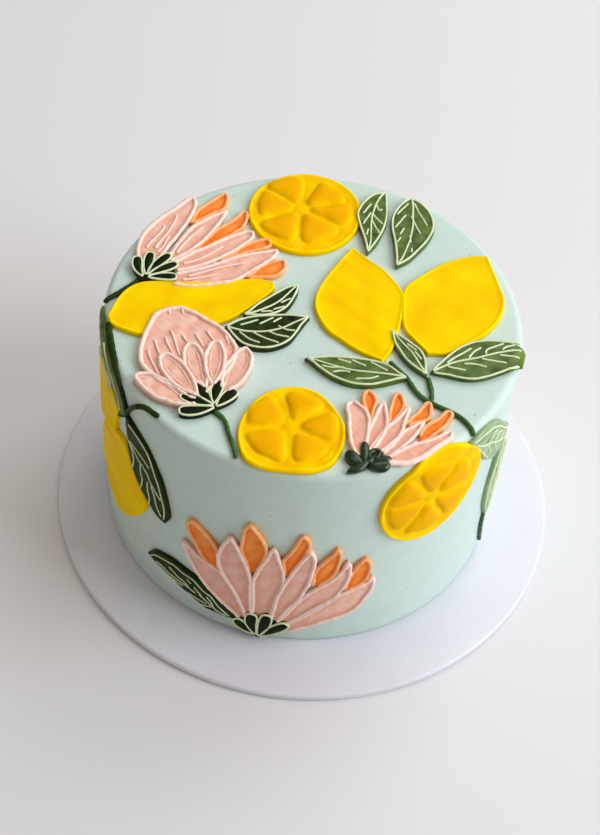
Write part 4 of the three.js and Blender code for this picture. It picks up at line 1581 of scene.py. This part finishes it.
def top_fruit() -> list[Work]:
    """The other fruit and leaves on the top.

    Returns:
        Its pieces.
    """
    top = Face.TOP
    left_lemon = Edges(((-76, -12.5), (-74, -4), (-71.4, 1.6), (-67, 6), (-60, 8), (-45, 9.6), (-30, 12.8),
                        (-23, 14.4), (-16.6, 13.4)),
                       ((-76, -13), (-74, -17.5), (-69, -20), (-62, -21.2), (-50, -18), (-36, -12),
                        (-30, -8), (-25, -3), (-20, 3), (-16.2, 9.4), (-16.6, 13.4)))
    near = Edges(((-32.5, -12.6), (-28, -8.5), (-22, -5.8), (-14, -3.8), (-8, -3.2), (-1.6, -3.6)),
                 ((-32, -13.6), (-29.4, -17.6), (-26, -21), (-23, -22.6), (-18, -23), (-13, -21.5),
                  (-8, -17.5), (-4.6, -10.4), (-1.6, -3.6)))
    far = Edges(((-26.5, -6), (-22, 0.4), (-15, 8), (-11, 11.4), (-7.2, 12.8)),
                ((-26, -6.8), (-20, -6.4), (-14, -4.2), (-10.6, -1), (-8.6, 3), (-7, 8.6), (-7.2, 12.8)))
    left = Edges(((23.5, 69.8), (19, 68.5), (15, 64), (13, 59), (12.5, 55), (13.8, 49), (16, 42),
                  (18, 34.2)),
                 ((24, 69.8), (24.7, 62), (25, 56), (24.5, 51), (23, 45), (21, 39), (18, 34.2)))
    right = Edges(((33.4, 68), (31, 66), (28, 61), (26.4, 56), (26.4, 50), (27.8, 42), (28.6, 35),
                   (29.4, 28.2)),
                  ((33.8, 68), (37.4, 66.4), (41, 62), (43, 57), (43.5, 51), (41.4, 44), (38, 38), (34, 32),
                   (29.4, 28.2)))
    near_veins = (
        ((-27, -11.5), (-20.5, -8)), ((-20, -10), (-15, -6)), ((-15, -8.5), (-12, -5.5)),
        ((-27, -15), (-23, -18), (-19, -19.5)), ((-22, -14.5), (-17, -17), (-12, -18.5)),
        ((-17, -13), (-13, -14.6), (-8.5, -15)), ((-13, -10), (-10, -11.4), (-6.5, -11.5)),
    )
    left_veins = (
        ((18, 57), (15.5, 50)), ((17.5, 47.5), (17, 44)), ((18, 62), (15, 56)),
        ((20, 62), (21.2, 58.6), (22.6, 59.6)), ((18.5, 57), (20.4, 54), (23, 51)),
        ((18.5, 53), (22, 45.5)),
    )
    right_veins = (
        ((32.6, 64.4), (28.5, 57.4)), ((32, 57.5), (28, 49.8)), ((31.6, 50), (30, 46)),
        ((30.4, 44.5), (29.2, 41.5)), ((35, 65), (37, 60), (40.5, 52.5)), ((34, 57), (38, 47.5)),
        ((34, 46), (34.5, 42)), ((35, 39), (35, 36.5)),
    )
    return [
        Lemon("left_lemon", top, left_lemon, seed=221),
        Leaf("leaf_by_bud_right", top, near, near_veins, seed=222, paint=DARK_LEAF),
        Leaf("leaf_by_bud_left", top, far, (
            ((-15.6, -1.8), (-11.4, 0.4)), ((-13, 2), (-9.4, 5)), ((-20, -3.6), (-15.6, -2.6))), seed=223,
             paint=DARK_LEAF),
        Leaf("back_left_leaf", top, left, left_veins, seed=224),
        Leaf("back_right_leaf", top, right, right_veins, seed=225),
        Slice("back_slice", top, Disc((-7.8, 53.8), (22, 23.4), ((2, 0.02, 0.6), (3, 0.012, 2.0))),
              (-9.5, 56), (
            (117, 29, 18.4), (44, 26, 18.6), (-3, 22, 20.4), (-59, 28, 19.2), (-119, 28, 19.4),
            (175, 29, 17.4)),
            seed=226),
        Slice("front_slice", top, Edges(
            ((-9.6, -77.4), (-15, -76.2), (-19.6, -73.6), (-21.9, -68.4), (-22.9, -62.4), (-22, -55.6),
             (-19, -48.2), (-13.6, -42), (-6.4, -38.9), (-2.4, -38.6)),
            ((-9.6, -77.4), (-2, -77.6), (4, -77.2), (8.4, -75.4), (11.9, -72.2), (14.4, -66),
             (15.2, -59.6), (14.4, -53.6), (11, -47.5), (6.2, -41.9), (1.4, -39.2), (-2.4, -38.6))),
              (-4.5, -58), (
            (150, 34, 16.4), (72, 28, 16.6), (8, 27, 17), (-52, 29, 16.4), (-128, 36, 16.4)), seed=227),
    ]


def side_fruit() -> list[Work]:
    """The slice, lemons, leaves and sprigs on the side, at the edge.

    Returns:
        Its pieces.
    """
    side = Face.SIDE
    lower_leaf = Edges(((-72.6, 87.6), (-67.6, 86.2), (-62.4, 83.8), (-58.8, 80.8), (-55.8, 76.2),
                        (-52.8, 70.4), (-50.4, 63), (-48.9, 56.4), (-48.5, 51.8), (-50.3, 47.5)),
                       ((-73.6, 87), (-73.6, 82), (-73.2, 75.5), (-71.5, 69.7), (-69, 63), (-65.2, 57.4),
                        (-60.7, 53.2), (-56.6, 49.6), (-53, 47.7), (-50.3, 47.5)))
    lower_veins = (
        ((-71.2, 85.3), (-66.4, 84.3), (-61.8, 82.2), (-58.7, 79.2), (-56.3, 74), (-54, 68.5), (-52, 62.4),
         (-50.4, 54.9), (-50.6, 49.8)),
        ((-73, 82.4), (-72.4, 78), (-70, 74.9), (-68.4, 72.1), (-67.7, 67.8), (-68.5, 63.5)),
        ((-70.3, 76.9), (-65.9, 76.1), (-61.9, 74.9), (-58.3, 72.9)),
        ((-69.6, 75.5), (-66.9, 73.5), (-64.1, 71.6), (-61.9, 70.6)),
        ((-63.7, 70.1), (-63.1, 65.4), (-62.4, 62), (-63.4, 56.6)),
        ((-61.9, 70.4), (-59.4, 68.5), (-57.8, 65.8), (-55.4, 63.2), (-52.3, 59.7)),
        ((-59.4, 64), (-59.2, 59), (-58.2, 55.7), (-58.6, 51.8)),
        ((-57.4, 64), (-55.8, 59.9), (-54.2, 54.3), (-51.9, 50.3)),
    )
    upper_leaf = Edges(((-76, 84.2), (-80.2, 83.2), (-86, 82.8), (-92, 83.2), (-99, 85), (-106, 89),
                        (-113, 95), (-118, 99.4)),
                       ((-74.6, 87.5), (-75.6, 93.8), (-79, 98.2), (-87.9, 100), (-95, 100.6), (-103, 101),
                        (-112, 101), (-118, 99.4)))
    upper_veins = (
        ((-77.8, 86), (-80.3, 91), (-84, 95), (-88, 97.2), (-93, 98.6), (-99, 99.4)),
        ((-78.6, 85.2), (-84, 84.8), (-90, 86), (-97, 89), (-103, 93)),
        ((-82.6, 87), (-86, 90), (-91, 92)), ((-88, 88.6), (-92, 92), (-97, 94)), ((-86, 92), (-90, 94.6)),
    )
    lower_lemon = Edges(((-92, 69), (-84, 69.8), (-78.4, 71.4), (-74.2, 70.9), (-71.2, 67), (-69, 62),
                         (-66, 57.6), (-61.6, 52.6), (-60.6, 47.4), (-63.4, 40.6), (-68, 34), (-73.6, 28.4),
                         (-81, 24.8)),
                        ((-92, 69), (-97, 62), (-100, 52), (-99.6, 42), (-96, 33), (-89, 26.8),
                         (-81, 24.8)))
    upper_lemon = Edges(((-78.6, 86), (-80.4, 80), (-82.4, 73.6), (-83, 69.2), (-92, 63), (-104, 58.6),
                         (-116, 57), (-124, 59)),
                        ((-78.6, 86), (-86, 91), (-96, 93), (-106, 90), (-115, 82), (-121, 71), (-124, 59)))
    return [
        Slice("edge_slice", side, Disc((52.8, 79), (22.8, 22.6), ((2, 0.025, 2.4), (3, 0.012, 0.5))),
              (51, 79), (
            (147, 26, 18.4), (86, 29, 17.4), (22, 30, 18.6), (-36, 26, 18.8), (-94, 28, 18.6),
            (-160, 31, 17.6)),
            seed=241),
        Leaf("edge_sprig_upper_leaf", side, Edges(
            ((66.4, 98.2), (72.7, 99.4), (80.8, 98.2), (88.5, 91.6), (94, 85), (100, 78)),
            ((66.8, 97.4), (70.5, 92.4), (74.9, 84.6), (79.7, 77.2), (88, 71), (95, 70.6), (100, 78))), (
            ((68.6, 96.6), (73, 96.4), (79, 95.6), (85.6, 91), (92, 83.6), (97, 78.6)),
            ((70.4, 93.6), (75, 89.6), (81, 85.8), (87.6, 80.4), (94, 75.6)),
            ((71.9, 90.8), (77.3, 82.6), (80.4, 77.8)), ((79, 88), (81.6, 91), (84.6, 90.2)),
            ((84, 84.4), (86.8, 86.4), (90, 84)), ((79.4, 85.4), (81.8, 80)), ((85, 81.4), (87.4, 76)),
            ((90, 79), (93, 80.6))), framed=False, fine=0.95, top=1.7, seed=242, paint=SHEEN_PAINTED_LEAF),
        Leaf("edge_sprig_lower_leaf", side, Edges(
            ((95, 27.6), (91.4, 36), (89.6, 46), (90, 54), (92, 59.6), (93.8, 66), (96.4, 74)),
            ((95.8, 27.6), (102, 35), (106, 46), (106.4, 56), (103, 66), (96.4, 74))),
            top=1.6, fine=0.8, seed=243, paint=SHEEN_PAINTED_LEAF),
        Stems("edge_sprig_stem", side, (((100.4, 5.4), (99, 6.4), (97.6, 12), (96, 20), (95, 29)),), 0.8),
        Leaf("left_sprig_lower_leaf", side, lower_leaf, lower_veins, framed=False, fine=0.75, top=1.6,
             seed=244, paint=DARK_LEAF),
        Leaf("left_sprig_upper_leaf", side, upper_leaf, upper_veins, framed=False, fine=0.7, top=1.4,
             seed=245),
        Stems("left_sprig_stem", side, (
            ((-74.6, 86.6), (-72, 92), (-68, 97.2), (-64.4, 99.7), (-61.2, 100.6), (-56.6, 101.2)),
            ((-81, 80), (-77.4, 83.6), (-73.4, 86.8)),
            ((-73.6, 86), (-75.6, 92.6), (-79.4, 97.6), (-87, 100.4), (-96, 101.4), (-108, 101.6))), 0.95,
              dark=True),
        Lemon("left_lower_lemon", side, lower_lemon, seed=246),
        Lemon("left_upper_lemon", side, upper_lemon, seed=247),
    ]


def rear_side() -> list[Work]:
    """The far side, finished in the same way as the near one.

    Returns:
        Its pieces.
    """
    side = Face.SIDE
    petals = (
        narrow(((237, 13), (224, 27), (210, 43)), 5.4), narrow(((238, 14), (229.6, 35), (224, 58)), 6.4),
        narrow(((240.6, 14), (240.6, 36), (239.4, 62)), 6.4),
        narrow(((243, 14), (251, 35), (255.6, 58)), 6.4),
        narrow(((245, 13), (258, 27), (271, 42)), 5.4),
    )
    tips = (((223.6, 36), (216.6, 47), (211, 59)), ((233, 43), (232, 56), (231.4, 70)),
            ((247.6, 43), (248.6, 56), (248.6, 70)))
    return [
        Petals("rear_protea_petals", side, petals, raised=(0, 0.3, 0.15, 0.3, 0), line=0.95, seed=300),
        *(tip(f"rear_protea_tip_{k}", side, Blade(spine, 4.8, 4.8, (0.5, 0.7)), 320 + k, 0.9)
          for k, spine in enumerate(tips, 1)),
        Calyx("rear_protea_calyx", side, lobes(
            ((240, 5.6), (236, 12), (235, 19.8)), ((240, 5.6), (241, 13), (241.4, 20.6)),
            ((240, 5.6), (244.4, 11.6), (247.8, 18)), half=2.8), seed=4),
        Leaf("rear_upper_leaf", side, Blade(((177, 81), (187, 75), (203, 73)), 7.4, 7, (0.75, 0.75)),
             seed=331),
        Leaf("rear_lower_leaf", side, Blade(((175, 83.6), (163, 85.6), (149, 80.4)),
                                            6.6, 6.6, (0.75, 0.75)), seed=332),
        Stems("rear_stem", side, (((174, 79), (176, 83), (181, 90), (191, 95)),)),
        Lemon("rear_lemon", side, Blade(((173, 79), (167, 55), (156, 26)), 18, 17, (0.62, 0.66)), seed=333),
        Slice("rear_slice", side, Disc((-172, 62), (22, 22), ((2, 0.02, 1.0),)), (-172.6, 62.4), tuple(
            (angle, 25, 17.4) for angle in range(20, 380, 60)), seed=334),
    ]


@dataclass(frozen=True)
class IcedCake:
    """The cake's smoothed icing.

    Attributes:
        form: Its size and place.
        foot: How far the icing is drawn in at its foot, in millimetres.
        wave: The height of the scraper's waves.
        wave_size: The usual length of a wave.
        groove: The depth of the groove that a knife left over the foot.
        groove_at: The angle from the front of the middle of that groove.
        groove_turn: How far round the groove goes each way, as an angle.
        groove_height: How high over the foot it runs.
        groove_width: How wide it is.
        sides: The points round it.
    """

    form: CakeForm
    foot: float = 1.2
    wave: float = 0.14
    wave_size: float = 70.0
    groove: float = 0.7
    groove_at: float = -0.95
    groove_turn: float = 0.75
    groove_height: float = 5.5
    groove_width: float = 2.6
    sides: int = 360

    def scraped(self, turn: np.ndarray, out: np.ndarray, up: np.ndarray) -> np.ndarray:
        """What the scraper leaves on the side: long low waves, and a groove over the foot.

        Args:
            turn: The angles round the axis.
            out: The distance from the axis, a row for each height.
            up: The height, likewise.

        Returns:
            How much farther out each point is, in millimetres.
        """
        grid = np.stack([np.broadcast_to(turn * self.form.radius, up.shape), 2.5 * up], -1)
        wave = self.wave * swells(grid, self.wave_size, 5)
        away = (turn - self.groove_at + np.pi) % (2 * np.pi) - np.pi
        facing = np.exp(-((away / self.groove_turn) ** 4))
        bell = np.exp(-(((up - self.groove_height) / self.groove_width) ** 2))
        groove = self.groove * facing * bell
        on_side = np.clip((out - self.form.radius + self.form.edge) / self.form.edge, 0, 1)
        return (wave - groove) * on_side

    def build(self) -> bpy.types.Object:
        """The icing: its profile, from the middle of the foot to the middle of the top, turned
        round the axis.

        Returns:
            The icing's object.
        """
        form = self.form
        heights = np.linspace(0, form.height - form.edge, 90)
        foot = self.foot * (1 - quarter(heights / self.foot))
        bend = np.linspace(0, np.pi / 2, 12)[1:]
        over = np.linspace(1, 0, 46)[1:] * form.top_reach
        out = np.concatenate([
            np.linspace(0, form.radius - self.foot, 6)[:-1],
            form.radius - foot,
            form.top_reach + form.edge * np.cos(bend),
            over,
        ])
        up = np.concatenate([
            np.zeros(5), heights,
            form.height - form.edge + form.edge * np.sin(bend),
            np.full(len(over), form.height),
        ])
        turn = np.linspace(0, 2 * np.pi, self.sides, endpoint=False)
        out, up = np.broadcast_arrays(out[:, None], up[:, None], np.empty((1, self.sides)))[:2]
        out = out + self.scraped(turn, out, up)
        rows = np.stack([
            out * np.sin(turn) + form.centre[0],
            -out * np.cos(turn) + form.centre[1],
            up + form.base,
        ], -1) * MM
        moulding = Moulding(form, Face.TOP)
        moulding.add(rows, 0.5)
        piece = moulding.finish("iced_cake_smoothed", [ICING])
        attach(piece, "root")
        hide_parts("iced_cake")
        log.info("%s: %d faces", piece.name, len(piece.data.polygons))
        return piece


@dataclass(frozen=True)
class CakeBoard:
    """The thin white card board under the cake.

    Attributes:
        wrap: The rounding of its wrapped edge, in millimetres.
        sides: The points round it.
    """

    wrap: float = 1.1
    sides: int = 256

    def finish(self) -> bpy.types.Material:
        """Greaseproof white paper on card: a faint cool cast, a soft gloss and a faint fibre.

        Returns:
            The material.
        """
        made = bpy.data.materials.new("greaseproof white paper")
        made.use_nodes = True
        tree = made.node_tree
        shader = tree.nodes["Principled BSDF"]
        place = add_node(tree, "ShaderNodeTexCoord").outputs["Object"]
        cloud = add_node(tree, "ShaderNodeTexNoise", {
            "Vector": place, "Scale": 1 / (CLOUD_SIZE * MM), "Detail": 3.0,
        })
        mix = add_node(tree, "ShaderNodeMix", {
            0: cloud.outputs["Fac"], 6: linear("#D6D8E3"), 7: linear("#DFE1EA"),
        }, data_type="RGBA")
        tree.links.new(mix.outputs[2], shader.inputs["Base Color"])
        shader.inputs["Roughness"].default_value = 0.36
        fibre = add_node(tree, "ShaderNodeTexNoise", {
            "Vector": place, "Scale": 1 / (FIBRE_SIZE * MM), "Detail": 2.0,
        })
        bump = add_node(tree, "ShaderNodeBump", {
            "Height": fibre.outputs["Fac"], "Strength": 0.4, "Distance": 0.02 * MM,
        })
        tree.links.new(bump.outputs["Normal"], shader.inputs["Normal"])
        return made

    def build(self) -> bpy.types.Object:
        """The board: its profile turned round its middle.

        Returns:
            The board's object.
        """
        low, high = (np.array(corner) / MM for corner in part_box("cake_board"))
        radius, thickness = (high[0] - low[0]) / 2, high[2] - low[2]
        bend = np.linspace(0, np.pi / 2, 8)
        flat = np.linspace(0, 1, 14)[:-1] * (radius - self.wrap)
        out = np.concatenate([
            flat,
            radius - self.wrap + self.wrap * np.sin(bend),
            radius - self.wrap + self.wrap * np.cos(bend),
            flat[::-1],
        ])
        up = np.concatenate([
            np.zeros(len(flat)), self.wrap - self.wrap * np.cos(bend),
            thickness - self.wrap + self.wrap * np.sin(bend), np.full(len(flat), thickness),
        ])
        turn = np.linspace(0, 2 * np.pi, self.sides, endpoint=False)
        rows = np.stack([
            np.outer(out, np.sin(turn)),
            -np.outer(out, np.cos(turn)),
            np.repeat(up[:, None], self.sides, axis=1),
        ], -1) * MM
        moulding = Moulding(CakeForm.from_frame(), Face.TOP)
        moulding.add(rows, 0.5)
        piece = moulding.finish("cake_board_wrapped", [])
        piece.data.materials.append(self.finish())
        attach(piece, "root")
        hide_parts("cake_board")
        log.info("%s: %d faces", piece.name, len(piece.data.polygons))
        return piece


@dataclass(frozen=True)
class Studio:
    """The plain pale floor, the soft light and the camera.

    Attributes:
        eye: The camera's place from the cake's axis and foot, in millimetres.
        right, up, ahead: The camera's own directions.
        focal: Its focal length in pixels of the picture's height.
        picture_height: The picture's height in pixels.
        sensor: The sensor's longer side.
    """

    eye: tuple = (0.0, -455.772, 565.354)
    right: tuple = (0.99486898, 0.07784417, 0.06462189)
    up: tuple = (-0.10114478, 0.75055247, 0.65302429)
    ahead: tuple = (-0.00233202, 0.65620978, -0.75457491)
    focal: float = 1733.57
    picture_height: float = 835.0
    sensor: float = 36.0

    def camera(self, form: CakeForm) -> None:
        """The camera at the picture's place and angle.

        Args:
            form: The cake that it faces.
        """
        lens = bpy.data.cameras.new("camera")
        lens.sensor_width = self.sensor
        lens.lens = self.focal * self.sensor / self.picture_height
        lens.clip_start, lens.clip_end = 0.01, 50.0
        holder = bpy.data.objects.new("camera", lens)
        turn = Matrix([self.right, self.up, tuple(-k for k in self.ahead)]).transposed().to_4x4()
        place = np.array(self.eye) + np.array([*form.centre, form.base])
        holder.matrix_world = Matrix.Translation(place * MM) @ turn
        bpy.context.scene.collection.objects.link(holder)
        bpy.context.scene.camera = holder

    def floor(self) -> None:
        """A wide pale matt floor."""
        mesh = bpy.data.meshes.new("floor")
        reach = 6.0
        mesh.from_pydata([(-reach, -reach, 0), (reach, -reach, 0), (reach, reach, 0), (-reach, reach, 0)],
                         [], [(0, 1, 2, 3)])
        plain = bpy.data.materials.new("pale matt floor")
        plain.use_nodes = True
        shader = plain.node_tree.nodes["Principled BSDF"]
        shader.inputs["Base Color"].default_value = linear("#DEDFE3")
        shader.inputs["Roughness"].default_value = 0.6
        mesh.materials.append(plain)
        floor = bpy.data.objects.new("floor", mesh)
        bpy.context.scene.collection.objects.link(floor)

    def light(self, name: str, place: tuple, size: float, power: float, colour: str) -> None:
        """A soft square light that faces the cake.

        Args:
            name: Its name.
            place: Its place in metres.
            size: Its side in metres.
            power: Its power in watts.
            colour: Its colour.
        """
        lamp = bpy.data.lights.new(name, "AREA")
        lamp.size = size
        lamp.energy = power
        lamp.color = linear(colour)[:3]
        holder = bpy.data.objects.new(name, lamp)
        away = -np.array(place, dtype=float)
        away[2] += 0.08
        away /= np.linalg.norm(away)
        side = np.cross(away, (0, 0, 1))
        side /= np.linalg.norm(side)
        turn = Matrix([side, np.cross(side, away), -away]).transposed().to_4x4()
        holder.matrix_world = Matrix.Translation(place) @ turn
        bpy.context.scene.collection.objects.link(holder)

    def build(self, form: CakeForm) -> None:
        """Sets up the whole studio.

        Args:
            form: The cake that it is for.
        """
        self.camera(form)
        self.floor()
        world = bpy.data.worlds.new("studio")
        world.use_nodes = True
        sky = world.node_tree.nodes["Background"]
        sky.inputs["Color"].default_value = linear("#FFF0DE")
        sky.inputs["Strength"].default_value = 0.37
        bpy.context.scene.world = world
        self.light("window", (1.75, -0.3, 1.1), 1.5, 39.0, "#F4F9FF")
        self.light("far window", (0.7, 1.1, 1.3), 1.1, 11.0, "#FFFFFF")
        self.light("ceiling", (0.1, 0.3, 2.1), 1.6, 5.0, "#F8FBFF")
        bpy.context.scene.view_settings.view_transform = "Standard"


def main() -> None:
    """Builds the board, the cake, every piped piece and the studio, and notes the sizes."""
    logging.basicConfig(level=logging.INFO, format="%(name)s %(message)s")
    form = CakeForm.from_frame()
    Studio().build(form)
    CakeBoard().build()
    IcedCake(form).build()
    works = [
        *front_protea(), *back_protea(), *bud(), *small_protea(), *lemon_pair(), *top_fruit(),
        *side_fruit(), *rear_side(),
    ]
    for work in works:
        work.dress(form)


if __name__ == "__main__":
    main()
